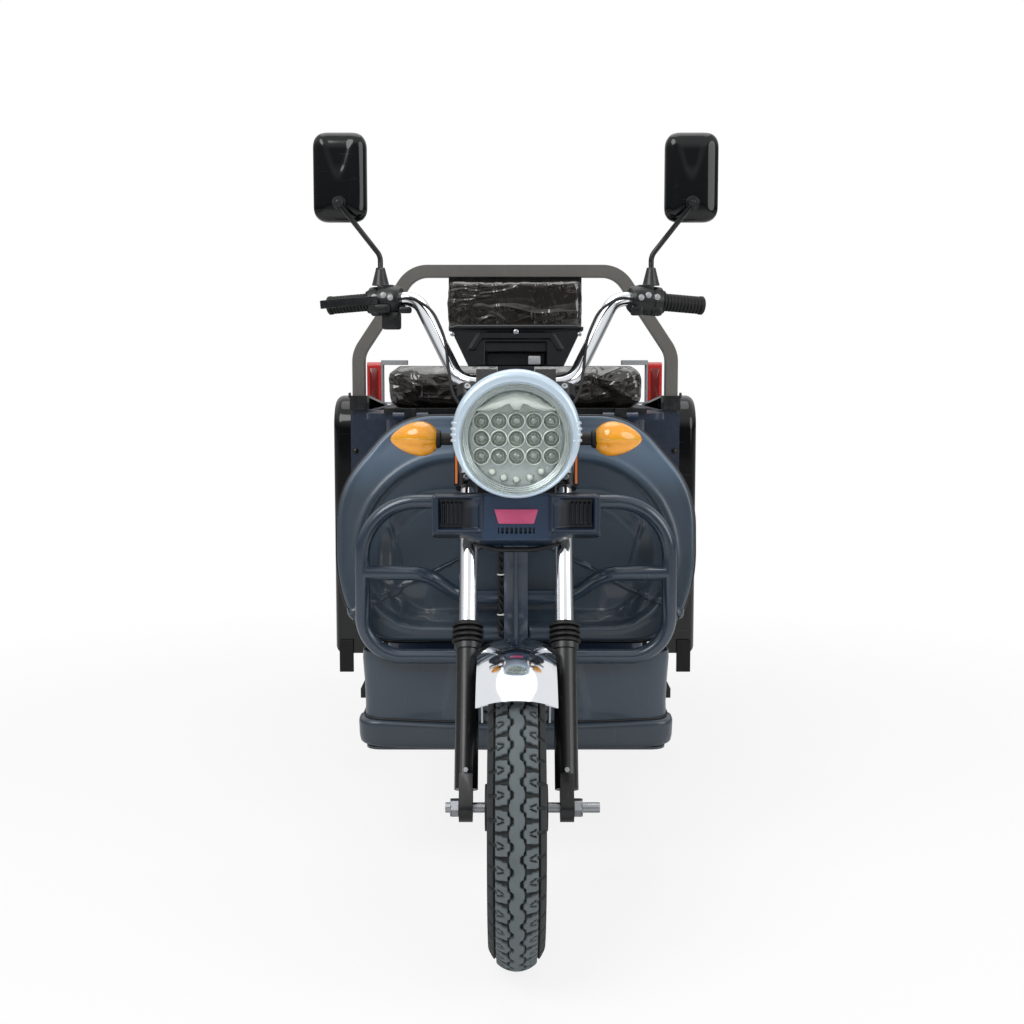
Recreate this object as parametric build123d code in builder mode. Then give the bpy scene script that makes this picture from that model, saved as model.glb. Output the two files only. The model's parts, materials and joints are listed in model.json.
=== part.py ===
"""Electric cargo tricycle: one steered front wheel, two driven rear wheels under a cargo bed.

Millimetres. X is across, front is towards -Y, Z is up. The origin lies on the ground under the
middle of the whole vehicle. Places along the vehicle are given as distances behind the front axle.
"""
import os
from math import cos, radians, sin, tan

from build123d import *

os.makedirs("parts", exist_ok=True)

# Whole vehicle
wheelbase = 1450.0
rear_overhang = 480.0
rear_track = 524.0
fit_gap = 0.3
overrun = 5.0
left_and_right = (-1, 1)

# Wheels, all three alike
tyre_radius = 228.5
tyre_width = 80.0
tyre_bead_radius = 154.0
tyre_base_width = 56.0
tyre_shoulder_share = 0.42
rim_wall = 5.0
rim_disc_thickness = 7.0
wheel_hub_radius = 34.0
wheel_hub_width = 92.0
wheel_bore = 15.6
rim_hole_count = 8
rim_hole_radius = 15.0
rim_hole_circle = 96.0
drum_radius = 72.0
drum_depth = 34.0

# Steering and fork
rake_deg = 25.0
fork_offset = 45.0
fork_spacing = 148.0
stanchion_diameter = 29.0
lower_leg_diameter = 35.0
lower_leg_top = 247.0
lower_leg_foot = 26.0
lug_radius = 21.0
lug_thickness = 20.0
boot_height = 33.0
boot_rib = 7.0
boot_diameter = 48.0
boot_ring_count = 4
axle_diameter = 15.0
axle_nut_across = 24.0
axle_nut_thickness = 11.0
axle_reach_left = 104.0
axle_reach_right = 122.0
lower_clamp_height = 498.0
clamp_thickness = 20.0
clamp_depth = 44.0
upper_clamp_height = 654.0
head_tube_radius = 24.0
head_tube_gap = 2.0
steerer_radius = 14.0

# Front mudguard
mudguard_radius = 247.0
mudguard_width = 112.4
mudguard_crown = 16.0
mudguard_wall = 3.0
mudguard_front_deg = 52.0
mudguard_rear_deg = 162.0

# Headlamp
lamp_lift = 12.4
lamp_reach = 188.4
lamp_radius = 96.0
lamp_rim = 13.0
lamp_depth = 128.0
lamp_wall = 4.0
lamp_bezel_depth = 34.0
lamp_back_radius = 38.0
lamp_rib_count = 4
lamp_rib = 5.0
lamp_boss_length = 24.0
lens_thickness = 5.0
lens_setback = 6.0
lens_drop = 8.0
led_lens_radius = 12.5
led_columns = 5
led_rows = 3
led_pitch = 27.0
led_plate_thickness = 8.0
led_lens_depth = 7.0
led_plate_setback = 24.0

# Lamp brackets and turn signals
ear_thickness = 5.0
ear_depth = 46.0
ear_height = 100.0
signal_length = 76.0
signal_height = 56.0
signal_depth = 58.0
signal_inner = 118.0
signal_drop = 11.0
signal_setback = 85.0
signal_belly_share = 0.42
stalk_radius = 9.0

# Horn cover below the lamp
horn_half_width = 129.0
horn_drop = 94.0
horn_height = 82.0
horn_setback = 57.0
horn_middle_half = 54.0
horn_corner = 12.0
horn_pocket_depth = 9.0
horn_slat_count = 7
horn_slat = 2.4
horn_slat_depth = 5.0
horn_dish = 3.0
horn_slot_count = 8
horn_slot_width = 5.0
horn_slot_height = 9.0
horn_slot_rise = 9.0
horn_foot_flare = 10.0
horn_foot_height = 22.0

# Handlebar and its controls
bar_diameter = 24.0
bar_bend = 42.0
grip_diameter = 32.0
grip_length = 72.0
grip_cap = 3.0
grip_end = 322.0
bar_shoulder_x = 168.0
bar_foot_x = 92.0
bar_foot_back = 16.4
bar_foot_lift = 15.0
bar_rise = 144.0
bar_pullback = 109.0
grip_fall = 11.0
grip_sweep = 40.0
riser_radius = 17.0
riser_x = 48.0
switch_length = 58.0
switch_radius = 25.0
switch_round = 10.0
switch_box = 34.0
switch_box_drop = 16.0
lever_width = 14.0
lever_thickness = 6.0
lever_reach = 52.0
lever_tip_reach = 42.0
lever_bend = 30.0
lever_root_inset = 22.0
lever_elbow_inset = 20.0
cable_diameter = 5.0
cable_setback = 19.0
cable_lead = 24.0
cable_arc_share = 0.45
mirror_foot_x = 232.0
mirror_knee_rise = 50.0
mirror_boss_x = 303.0
mirror_boss_rise = 90.0
mirror_stem_diameter = 9.0
mirror_seat_lift = 1.5
mirror_boot_height = 30.0
mirror_boot_radius = 15.0
mirror_boot_taper_deg = 14.0
mirror_stem_bend = 25.0
mirror_boss_radius = 9.0
mirror_back_round = 11.0
mirror_width = 92.0
mirror_height = 152.0
mirror_depth = 30.0
mirror_corner = 22.0
mirror_head_lift = 46.0
mirror_tilt_deg = 5.0

# Dash cowl
cowl_top_half = 110.0
cowl_bottom_half = 78.0
cowl_height = 67.0
cowl_lift = 27.0
cowl_setback = 10.0
cowl_depth = 74.0
cowl_round = 12.0
cowl_recess = 22.0
cowl_lip = 5.0
cowl_rib = 6.0
cowl_rib_height = 4.0
cowl_opening_top_half = 52.0
cowl_opening_foot_half = 34.0
cowl_opening_rise = 12.0
cowl_opening_height = 36.0
cowl_block = 16.0
cowl_bracket_width = 60.0
cowl_bracket_depth = 30.0

# Leg shield and apron
shield_front = 330.0
shield_depth = 118.0
shield_wall = 4.0
shield_tilt_deg = 7.0
shield_top = 794.0
shield_top_half = 196.0
shield_corner_height = 668.0
shield_half_width = 303.0
shield_side_bottom = 505.0
shield_foot_half = 258.0
shield_foot = 411.0
shield_edge_round = 16.0
shield_round = 60.0
pocket_inset = 46.0
pocket_top_inset = 78.0
pocket_round = 50.0
shield_bead_width = 6.0
shield_bead_height = 3.0
apron_half_width = 261.0
apron_top = 395.0
apron_bottom = 226.0
apron_front = 322.0
apron_depth = 150.0
apron_wall = 4.0
apron_lip_height = 46.0
apron_lip_reach = 9.0
apron_corner = 34.0

# Guard bar in front of the shield
guard_station = 305.0
guard_tube = 25.0
guard_half_width = 254.5
guard_top = 651.0
guard_bottom = 392.0
guard_upper_round = 92.0
guard_lower_round = 66.0
guard_middle = 532.0
guard_middle_drop = 46.0
guard_middle_outer = 150.0
guard_middle_inner = 95.0
guard_middle_bend = 64.0
guard_weld_setback = 5.0

# Frame
down_tube_width = 40.0
down_tube_station = 350.0
down_tube_bend = 70.0
tube_clearance = 3.0
rail_width = 40.0
rail_height = 40.0
rail_x = 130.0
rail_low = 262.0
rail_high = 451.0
rail_bend = 90.0
rail_rise_start = 1000.0
rail_rise_end = 1100.0
cross_depth = 40.0
cross_first = 1180.0
cross_last = 1830.0
cross_count = 4
spine_end = 560.0
head_join_back = 15.0
head_join_drop = 5.0
neck_drop = 90.0
loom_diameter = 8.0
loom_top = 600.0

# Floor board and seat
floor_height = 300.0
floor_half_width = 278.0
floor_rear = 945.0
seat_box_front = 700.0
seat_box_rear = 938.0
seat_box_half = 250.0
seat_box_wall = 4.0
seat_box_round = 24.0
seat_box_top = 774.0
seat_rim_height = 12.0
seat_rim_half = 288.0
seat_pan_thickness = 10.0
seat_half_width = 252.0
seat_thickness = 82.0
seat_front = 690.0
seat_rear = 936.0
seat_round = 34.0
battery_length = 180.0
battery_width = 420.0
battery_height = 200.0

# Cargo bed
bed_front = 955.0
headboard_thickness = 20.0
headboard_round = 12.0
headboard_half = 346.0
bed_floor_top = 500.0
bed_floor_thickness = 12.0
bed_half_width = 316.0
bed_wall = 16.0
bed_top = 786.0
bed_rear = 1884.0
tailgate_thickness = 16.0
tailgate_gap = 6.0
panel_rib_count = 6
panel_rib_width = 30.0
panel_rib_height = 5.0
panel_rib_margin = 40.0
latch_width = 24.0
latch_height = 60.0
latch_thickness = 8.0
latch_drop = 30.0
knuckle_radius = 9.0
knuckle_length = 22.0
knuckle_gap = 0.6
hinge_pin_radius = 4.0
hinge_x = 200.0
hinge_drop = 6.0

# Hoop and backrest
hoop_tube_width = 25.0
hoop_tube_depth = 38.0
hoop_half_width = 328.0
hoop_top = 1075.0
hoop_foot = 802.0
hoop_shoulder_x = 214.0
hoop_knee_height = 905.0
hoop_corner = 60.0
hoop_station = 965.0
socket_size = 36.0
socket_wall = 5.0
socket_height = 30.0
pad_half_width = 139.0
pad_bottom = 952.0
pad_top = 1051.0
pad_thickness = 42.0
pad_corner = 14.0
backrest_thickness = 8.0

# Rear fenders, tail lamps and what carries them
fender_outer = 387.0
fender_front = 985.0
fender_rear = 1876.0
fender_top = 820.0
fender_rear_top = 764.0
fender_bottom = 262.0
fender_rear_bottom = 400.0
fender_wall = 5.0
fender_round = 70.0
fender_edge_round = 18.0
fender_arch_radius = 262.0
flap_width = 30.0
flap_thickness = 6.0
flap_drop = 40.0
flap_overlap = 30.0
lamp_bracket_inner = 276.0
lamp_bracket_outer = 342.0
lamp_bracket_top = 898.0
lamp_bracket_station = 1640.0
lamp_bracket_depth = 50.0
lamp_bracket_wall = 4.0
lamp_bracket_flange = 12.0
tail_lamp_outer = 378.0
tail_lamp_top = 893.0
tail_lamp_round = 10.0

# Rear axle, springs and rear beam
axle_tube_radius = 30.0
motor_radius = 88.0
motor_length = 150.0
rear_axle_reach = 305.0
spring_width = 44.0
spring_thickness = 18.0
spring_eye_radius = 14.0
axle_shoulder_gap = 6.0
spring_half_length = 290.0
spring_bolt = 9.0
spring_plate_half = 42.0
spring_plate_thickness = 8.0
beam_height = 60.0
beam_depth = 34.0
beam_half = 280.0
tow_thickness = 12.0
tow_width = 60.0
tow_reach = 38.0
tow_hole = 16.0
beam_level = 430.0

# Worked-out places
front_axle_y = tyre_radius - (tyre_radius + wheelbase + rear_overhang) / 2
rake = radians(rake_deg)


def behind(distance):
    """Y of a place given as a distance behind the front axle."""
    return front_axle_y + distance


axle_height = tyre_radius
rear_axle_y = behind(wheelbase)

# Places along the fork legs, measured up them from the axle
fork_middle = (lower_clamp_height + upper_clamp_height + clamp_thickness) / 2
head_tube_bottom = lower_clamp_height + clamp_thickness + head_tube_gap
head_tube_top = upper_clamp_height - head_tube_gap
lamp_height = axle_height + fork_middle * cos(rake) + lamp_lift
lamp_along = (lamp_height - axle_height) / cos(rake)
lamp_face = lamp_along * sin(rake) - lamp_reach
ear_bottom = lamp_along - ear_height / 2 - signal_drop
ear_top = ear_bottom + ear_height
signal_level = lamp_height - signal_drop
signal_station = lamp_face + signal_setback
horn_top = lamp_height - horn_drop
horn_bottom = horn_top - horn_height
horn_front = lamp_face + horn_setback

# Handlebar, cowl and mirrors follow the upper yoke
bar_foot_along = upper_clamp_height + clamp_thickness + bar_foot_lift
bar_foot_station = bar_foot_along * sin(rake) + bar_foot_back * cos(rake)
bar_foot_height = axle_height + bar_foot_along * cos(rake) - bar_foot_back * sin(rake)
bar_shoulder_height = bar_foot_height + bar_rise
bar_shoulder_station = bar_foot_station + bar_pullback
grip_height = bar_shoulder_height - grip_fall
grip_station = bar_shoulder_station + grip_sweep
cowl_bottom = bar_foot_height + cowl_lift
cowl_top = cowl_bottom + cowl_height
cowl_station = bar_foot_station - cowl_setback
fork_plane = Plane(
    origin=(0, behind(0), axle_height), x_dir=(1, 0, 0), z_dir=(0, sin(rake), cos(rake))
)


def on_fork(x, back, along):
    """A point given across, square behind the fork legs, and up along them from the axle."""
    return (
        x,
        behind(along * sin(rake) + back * cos(rake)),
        axle_height + along * cos(rake) - back * sin(rake),
    )


def facing(distance):
    """Plane square across the vehicle, seen from the front: x across, y up."""
    return Plane(origin=(0, behind(distance), 0), x_dir=(1, 0, 0), z_dir=(0, -1, 0))


def mirrored(points):
    """An outline's right half, bottom to top, closed by its mirror image."""
    return points + [(-x, z) for x, z in reversed(points)]


def finish(part, name):
    """Label a finished piece and write it out."""
    part.label = name
    export_step(part, f"parts/{name}.step")


# Tyres and wheels: profile in the plane across the axle, turned about the axle
wheels = (
    # name, centre across, centre behind the front axle, side of the brake drum
    ("front", 0.0, 0.0, 1),
    ("rear_left", -rear_track / 2, wheelbase, 1),
    ("rear_right", rear_track / 2, wheelbase, -1),
)
for wheel_name, wheel_x, wheel_station, drum_side in wheels:
    wheel_centre = Plane(origin=(wheel_x, behind(wheel_station), axle_height))
    wheel_axis = Axis((wheel_x, behind(wheel_station), axle_height), (1, 0, 0))
    shoulder = tyre_radius - (tyre_radius - tyre_bead_radius) * tyre_shoulder_share
    with BuildPart() as tyre:
        with BuildSketch(wheel_centre):
            with BuildLine():
                Polyline(
                    (-tyre_width / 2, shoulder),
                    (-tyre_base_width / 2, tyre_bead_radius),
                    (tyre_base_width / 2, tyre_bead_radius),
                    (tyre_width / 2, shoulder),
                )
                ThreePointArc((-tyre_width / 2, shoulder), (0, tyre_radius), (tyre_width / 2, shoulder))
            make_face()
        revolve(axis=wheel_axis)
    finish(tyre.part, f"tyre_{wheel_name}")

    rim_outer = tyre_bead_radius - fit_gap
    rim_inner = rim_outer - rim_wall
    with BuildPart() as wheel:
        with BuildSketch(wheel_centre):
            with Locations((0, rim_outer - rim_wall / 2)):
                Rectangle(tyre_base_width, rim_wall)
            with Locations((0, (rim_inner + wheel_hub_radius) / 2)):
                Rectangle(rim_disc_thickness, rim_inner - wheel_hub_radius + rim_wall)
            with Locations((0, (wheel_hub_radius + wheel_bore / 2) / 2)):
                Rectangle(wheel_hub_width, wheel_hub_radius - wheel_bore / 2)
            with Locations((drum_side * drum_depth / 2, (drum_radius + wheel_bore / 2) / 2)):
                Rectangle(drum_depth, drum_radius - wheel_bore / 2)
        revolve(axis=wheel_axis)
        with BuildSketch(Plane.YZ.offset(wheel_x)):
            with Locations((behind(wheel_station), axle_height)):
                with PolarLocations(rim_hole_circle + rim_hole_radius, rim_hole_count):
                    Circle(rim_hole_radius)
        extrude(amount=rim_disc_thickness, both=True, mode=Mode.SUBTRACT)
    finish(wheel.part, f"wheel_{wheel_name}")

# Fork: chromed stanchions, lower legs with axle lugs, ribbed boots
with BuildPart() as stanchions:
    with BuildSketch(fork_plane.offset(lower_leg_top + boot_height + fit_gap)):
        with GridLocations(fork_spacing, 0, 2, 1):
            Circle(stanchion_diameter / 2)
    extrude(amount=upper_clamp_height + clamp_thickness - lower_leg_top - boot_height - fit_gap)
finish(stanchions.part, "stanchions")

with BuildPart() as fork_lowers:
    with BuildSketch(fork_plane.offset(lower_leg_foot)):
        with GridLocations(fork_spacing, 0, 2, 1):
            Circle(lower_leg_diameter / 2)
    extrude(amount=lower_leg_top - lower_leg_foot)
    for side in left_and_right:
        with BuildSketch(Plane.YZ.offset(side * fork_spacing / 2 - lug_thickness / 2)):
            with Locations((behind(0), axle_height)):
                Circle(lug_radius)
            with BuildLine():
                foot = on_fork(0, 0, lower_leg_foot + lug_radius)
                Polyline(
                    (behind(0) - lug_radius * cos(rake), axle_height + lug_radius * sin(rake)),
                    (behind(0) + lug_radius * cos(rake), axle_height - lug_radius * sin(rake)),
                    (foot[1] + lower_leg_diameter / 2 * cos(rake), foot[2] - lower_leg_diameter / 2 * sin(rake)),
                    (foot[1] - lower_leg_diameter / 2 * cos(rake), foot[2] + lower_leg_diameter / 2 * sin(rake)),
                    close=True,
                )
            make_face()
        extrude(amount=lug_thickness)
    with BuildSketch(Plane.YZ):
        with Locations((behind(0), axle_height)):
            Circle(axle_diameter / 2 + fit_gap)
    extrude(amount=fork_spacing, both=True, mode=Mode.SUBTRACT)
finish(fork_lowers.part, "fork_lowers")

with BuildPart() as fork_boots:
    ring_pitch = boot_height / boot_ring_count
    for side in left_and_right:
        with BuildSketch(fork_plane.offset(lower_leg_top)):
            with Locations((side * fork_spacing / 2, 0)):
                Circle(boot_diameter / 2 - boot_rib)
        extrude(amount=boot_height)
        for ring in range(boot_ring_count):
            with BuildSketch(fork_plane.offset(lower_leg_top + ring * ring_pitch)):
                with Locations((side * fork_spacing / 2, 0)):
                    Circle(boot_diameter / 2)
            extrude(amount=ring_pitch / 2)
finish(fork_boots.part, "fork_boots")

with BuildPart() as front_axle:
    with BuildSketch(Plane.YZ.offset(-axle_reach_left)):
        with Locations((behind(0), axle_height)):
            Circle(axle_diameter / 2)
    extrude(amount=axle_reach_left + axle_reach_right)
    for side in left_and_right:
        nut_inner = side * (fork_spacing / 2 + lug_thickness / 2 + fit_gap)
        with BuildSketch(Plane.YZ.offset(nut_inner)):
            with Locations((behind(0), axle_height)):
                RegularPolygon(axle_nut_across / 2, 6, major_radius=False)
        extrude(amount=side * axle_nut_thickness)
finish(front_axle.part, "front_axle")

# Yokes and steerer: two plates that clamp the stanchions, joined by the steerer
with BuildPart() as fork_yokes:
    for clamp_height in (lower_clamp_height, upper_clamp_height):
        with BuildSketch(fork_plane.offset(clamp_height)):
            with GridLocations(fork_spacing, 0, 2, 1):
                Circle(clamp_depth / 2)
            Rectangle(fork_spacing, clamp_depth)
            with Locations((0, fork_offset)):
                Circle(head_tube_radius)
            with Locations((0, fork_offset / 2)):
                Rectangle(2 * head_tube_radius, fork_offset)
            with GridLocations(fork_spacing, 0, 2, 1):
                Circle(stanchion_diameter / 2 + fit_gap, mode=Mode.SUBTRACT)
        extrude(amount=clamp_thickness)
    with BuildSketch(fork_plane.offset(lower_clamp_height)):
        with Locations((0, fork_offset)):
            Circle(steerer_radius)
    extrude(amount=upper_clamp_height - lower_clamp_height + clamp_thickness)
finish(fork_yokes.part, "fork_yokes")

# Front mudguard: a crowned strip turned about the axle, with a stay to each lower leg
mudguard_axis = Axis((0, behind(0), axle_height), (1, 0, 0))
mudguard_start = radians(mudguard_rear_deg - 90)
mudguard_plane = Plane(
    origin=(0, behind(0), axle_height),
    x_dir=(1, 0, 0),
    z_dir=(0, -cos(mudguard_start), sin(mudguard_start)),
)
with BuildPart() as front_mudguard:
    with BuildSketch(mudguard_plane):
        with BuildLine():
            edge = mudguard_radius - mudguard_crown
            ThreePointArc((-mudguard_width / 2, edge), (0, mudguard_radius), (mudguard_width / 2, edge))
            Line((mudguard_width / 2, edge), (mudguard_width / 2 - mudguard_wall, edge))
            ThreePointArc(
                (mudguard_width / 2 - mudguard_wall, edge),
                (0, mudguard_radius - mudguard_wall),
                (mudguard_wall - mudguard_width / 2, edge),
            )
            Line((mudguard_wall - mudguard_width / 2, edge), (-mudguard_width / 2, edge))
        make_face()
    revolve(axis=mudguard_axis, revolution_arc=mudguard_rear_deg - mudguard_front_deg)
finish(front_mudguard.part, "front_mudguard")

# Headlamp: bowl turned about its own axis, with a bezel, an inner plate of lenses and a clear front
lamp_plane = Plane(origin=(0, behind(lamp_face), lamp_height), x_dir=(1, 0, 0), z_dir=(0, 1, 0))
lamp_axis = Axis((0, behind(lamp_face), lamp_height), (0, 1, 0))
lamp_profile = Plane(origin=(0, behind(lamp_face), lamp_height), x_dir=(1, 0, 0), z_dir=(0, 0, 1))
with BuildPart() as headlamp_shell:
    with BuildSketch(lamp_profile):
        with BuildLine():
            Polyline(
                (lamp_radius - lamp_rim - lens_drop, 0),
                (lamp_radius, lamp_rim / 2),
                (lamp_radius, lamp_bezel_depth),
                (lamp_radius - lamp_wall, lamp_bezel_depth),
            )
            RadiusArc(
                (lamp_radius - lamp_wall, lamp_bezel_depth), (lamp_back_radius, lamp_depth), -lamp_radius
            )
            Polyline(
                (lamp_back_radius, lamp_depth),
                (0, lamp_depth),
                (0, lamp_depth - lamp_wall),
                (lamp_back_radius - lamp_wall, lamp_depth - lamp_wall),
            )
            RadiusArc(
                (lamp_back_radius - lamp_wall, lamp_depth - lamp_wall),
                (lamp_radius - lamp_rim, lamp_bezel_depth),
                lamp_radius,
            )
            Polyline(
                (lamp_radius - lamp_rim, lamp_bezel_depth),
                (lamp_radius - lamp_rim - lens_drop, lamp_bezel_depth),
                (lamp_radius - lamp_rim - lens_drop, 0),
            )
        make_face()
    revolve(axis=lamp_axis)
    with BuildSketch(lamp_plane):
        with Locations((0, lens_drop)):
            Circle(lamp_radius - lamp_rim)
    extrude(amount=lamp_bezel_depth, mode=Mode.SUBTRACT)
    for side in left_and_right:
        for rib in range(lamp_rib_count):
            rib_height = (rib - (lamp_rib_count - 1) / 2) * 2 * lamp_rib
            with BuildSketch(lamp_plane.offset(lamp_bezel_depth / 2)):
                with Locations((side * (lamp_radius - lamp_rib / 2), rib_height)):
                    Rectangle(2 * lamp_rib, lamp_rib)
            extrude(amount=lamp_bezel_depth / 2)
        with BuildSketch(Plane.YZ.offset(side * (lamp_radius - ear_thickness))):
            with Locations((behind(signal_station), signal_level)):
                Circle(stalk_radius)
        extrude(amount=-side * lamp_boss_length)
finish(headlamp_shell.part, "headlamp_shell")

opening_radius = lamp_radius - lamp_rim - fit_gap
with BuildPart() as headlamp_lens:
    with BuildSketch(lamp_plane.offset(lens_setback)):
        with Locations((0, lens_drop)):
            Circle(opening_radius)
    extrude(amount=lens_thickness)
finish(headlamp_lens.part, "headlamp_lens")

with BuildPart() as headlamp_leds:
    with BuildSketch(lamp_plane.offset(led_plate_setback)):
        with Locations((0, lens_drop)):
            Circle(opening_radius)
    extrude(amount=led_plate_thickness)
    with BuildSketch(lamp_plane.offset(led_plate_setback)):
        with Locations((0, lens_drop)):
            with GridLocations(led_pitch, led_pitch, led_columns, led_rows):
                Circle(led_lens_radius)
    extrude(amount=-led_lens_depth)
finish(headlamp_leds.part, "headlamp_leds")

# Ears on the stanchions that hold the lamp, and the stalks of the signals
with BuildPart() as lamp_ears:
    for side in left_and_right:
        ear_x = side * (fork_spacing / 2)
        with BuildSketch(fork_plane.offset(ear_bottom)):
            with Locations((ear_x, 0)):
                Circle(stanchion_diameter / 2 + ear_thickness)
                Circle(stanchion_diameter / 2 + fit_gap, mode=Mode.SUBTRACT)
        extrude(amount=ear_top - ear_bottom)
        stanchion_centre = on_fork(0, 0, (ear_bottom + ear_top) / 2)
        plate_front = behind(signal_station) - stalk_radius
        plate_rear = stanchion_centre[1] - stanchion_diameter / 2 - ear_thickness / 2
        with BuildSketch(Plane.YZ.offset(side * (lamp_radius + fit_gap))):
            with Locations(((plate_front + plate_rear) / 2, signal_level)):
                Rectangle(plate_rear - plate_front + ear_depth / 2, ear_depth / 2)
        extrude(amount=-side * ear_thickness)
        with BuildSketch(Plane.YZ.offset(side * (lamp_radius + fit_gap))):
            with Locations((behind(signal_station), signal_level)):
                Circle(stalk_radius)
        extrude(amount=side * (signal_inner - lamp_radius - 2 * fit_gap))
finish(lamp_ears.part, "lamp_ears")

with BuildPart() as turn_signals:
    for side in left_and_right:
        signal_plane = Plane.YZ.offset(side * signal_inner)
        with BuildSketch(signal_plane) as signal_root:
            with Locations((behind(signal_station), signal_level)):
                Ellipse(signal_depth / 4, signal_height / 4)
        with BuildSketch(signal_plane.offset(side * signal_length * signal_belly_share)) as signal_belly:
            with Locations((behind(signal_station), signal_level)):
                Ellipse(signal_depth / 2, signal_height / 2)
        with BuildSketch(signal_plane.offset(side * signal_length)) as signal_tip:
            with Locations((behind(signal_station), signal_level)):
                Ellipse(signal_depth / 5, signal_height / 5)
        loft([signal_root.sketch, signal_belly.sketch, signal_tip.sketch], ruled=True)
finish(turn_signals.part, "turn_signals")

# Horn cover
horn_plane = Plane(origin=(0, behind(horn_front), 0), x_dir=(1, 0, 0), z_dir=(0, -1, 0))
stanchion_front = (horn_bottom + horn_corner - axle_height) * tan(rake) - stanchion_diameter / 2 / cos(rake)
horn_depth = stanchion_front - fit_gap - horn_front
pod_x = (horn_half_width + horn_middle_half) / 2
pod_height = horn_top - horn_height / 2 + horn_corner / 2
pocket_width = horn_half_width - horn_middle_half - horn_corner
pocket_height = horn_height - 3 * horn_corner
with BuildPart() as horn_cover:
    with BuildSketch(horn_plane):
        with Locations((0, (horn_top + horn_bottom) / 2)):
            Rectangle(2 * horn_middle_half, horn_height)
        for side in left_and_right:
            with Locations((side * pod_x, pod_height)):
                RectangleRounded(pocket_width + 2 * horn_corner, horn_height - horn_corner, horn_corner)
        with BuildLine():
            foot_outline = mirrored(
                [
                    (horn_middle_half + horn_foot_flare, horn_bottom),
                    (horn_middle_half, horn_bottom + horn_foot_height),
                ]
            )
            Polyline(*foot_outline, close=True)
        make_face()
    extrude(amount=-horn_depth)
    for side in left_and_right:
        with BuildSketch(horn_plane):
            with Locations((side * pod_x, pod_height)):
                RectangleRounded(pocket_width, pocket_height, horn_corner / 2)
        extrude(amount=-horn_pocket_depth, mode=Mode.SUBTRACT)
        with BuildSketch(horn_plane.offset(-horn_pocket_depth)):
            with Locations((side * pod_x, pod_height)):
                with GridLocations(pocket_width / horn_slat_count, 0, horn_slat_count - 1, 1):
                    Rectangle(horn_slat, pocket_height)
        extrude(amount=horn_slat_depth)
    with BuildSketch(horn_plane):
        with Locations((0, pod_height)):
            RectangleRounded(2 * (horn_middle_half - horn_corner), pocket_height, horn_corner)
    extrude(amount=-horn_dish, mode=Mode.SUBTRACT)
    with BuildSketch(horn_plane):
        with Locations((0, horn_bottom + horn_slot_rise)):
            with GridLocations(2 * horn_slot_width, 0, horn_slot_count, 1):
                Rectangle(horn_slot_width, horn_slot_height)
    extrude(amount=-horn_pocket_depth, mode=Mode.SUBTRACT)
finish(horn_cover.part, "horn_cover")

# Handlebar, one bent tube, and its clamps to the upper yoke
bar_points = []
for side in left_and_right:
    half = [
        (side * grip_end, behind(grip_station), grip_height),
        (side * bar_shoulder_x, behind(bar_shoulder_station), bar_shoulder_height),
        (side * bar_foot_x, behind(bar_foot_station), bar_foot_height),
    ]
    bar_points += half if side < 0 else half[::-1]
with BuildPart() as handlebar:
    with BuildLine() as bar_line:
        FilletPolyline(*bar_points, radius=bar_bend)
    with BuildSketch(Plane(origin=bar_line.line @ 0, z_dir=bar_line.line % 0)):
        Circle(bar_diameter / 2)
    sweep(path=bar_line.line)
finish(handlebar.part, "handlebar")

# Risers that clamp the bar to the upper yoke
bar_middle = Vector(0, behind(bar_foot_station), bar_foot_height)
yoke_top = upper_clamp_height + clamp_thickness + fit_gap
with BuildPart() as bar_risers:
    with BuildSketch(fork_plane.offset(yoke_top)):
        with Locations((-riser_x, bar_foot_back), (riser_x, bar_foot_back)):
            Rectangle(riser_radius * 2, riser_radius * 2)
    extrude(amount=bar_foot_along + riser_radius - yoke_top)
    with BuildSketch(Plane.YZ):
        with Locations((bar_middle.Y, bar_middle.Z)):
            Circle(bar_diameter / 2 + fit_gap)
    extrude(amount=riser_x + 2 * riser_radius, both=True, mode=Mode.SUBTRACT)
finish(bar_risers.part, "bar_risers")

# Grips, and the switch housings inboard of them
bar_end = {}
for side in left_and_right:
    outer_point = Vector(side * grip_end, behind(grip_station), grip_height)
    inner_point = Vector(side * bar_shoulder_x, behind(bar_shoulder_station), bar_shoulder_height)
    bar_end[side] = Plane(origin=outer_point, x_dir=(0, 1, 0), z_dir=inner_point - outer_point)

with BuildPart() as grips:
    for side in left_and_right:
        with BuildSketch(bar_end[side].offset(-grip_cap)):
            Circle(grip_diameter / 2)
        extrude(amount=grip_length + grip_cap)
        with BuildSketch(bar_end[side].offset(-fit_gap)):
            Circle(bar_diameter / 2 + fit_gap)
        extrude(amount=grip_length + overrun, mode=Mode.SUBTRACT)
finish(grips.part, "grips")

with BuildPart() as switchgear:
    for side in left_and_right:
        with BuildSketch(bar_end[side].offset(grip_length + grip_cap)):
            RectangleRounded(2 * switch_radius, 2 * switch_radius, switch_round)
            Circle(bar_diameter / 2 + fit_gap, mode=Mode.SUBTRACT)
        extrude(amount=switch_length)
    with BuildSketch(bar_end[-1].offset(grip_length + grip_cap + (switch_length - switch_box) / 2)):
        with Locations((0, -switch_radius - switch_box_drop / 2)):
            Rectangle(switch_box, switch_box_drop)
    extrude(amount=switch_box)
finish(switchgear.part, "switchgear")

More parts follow.
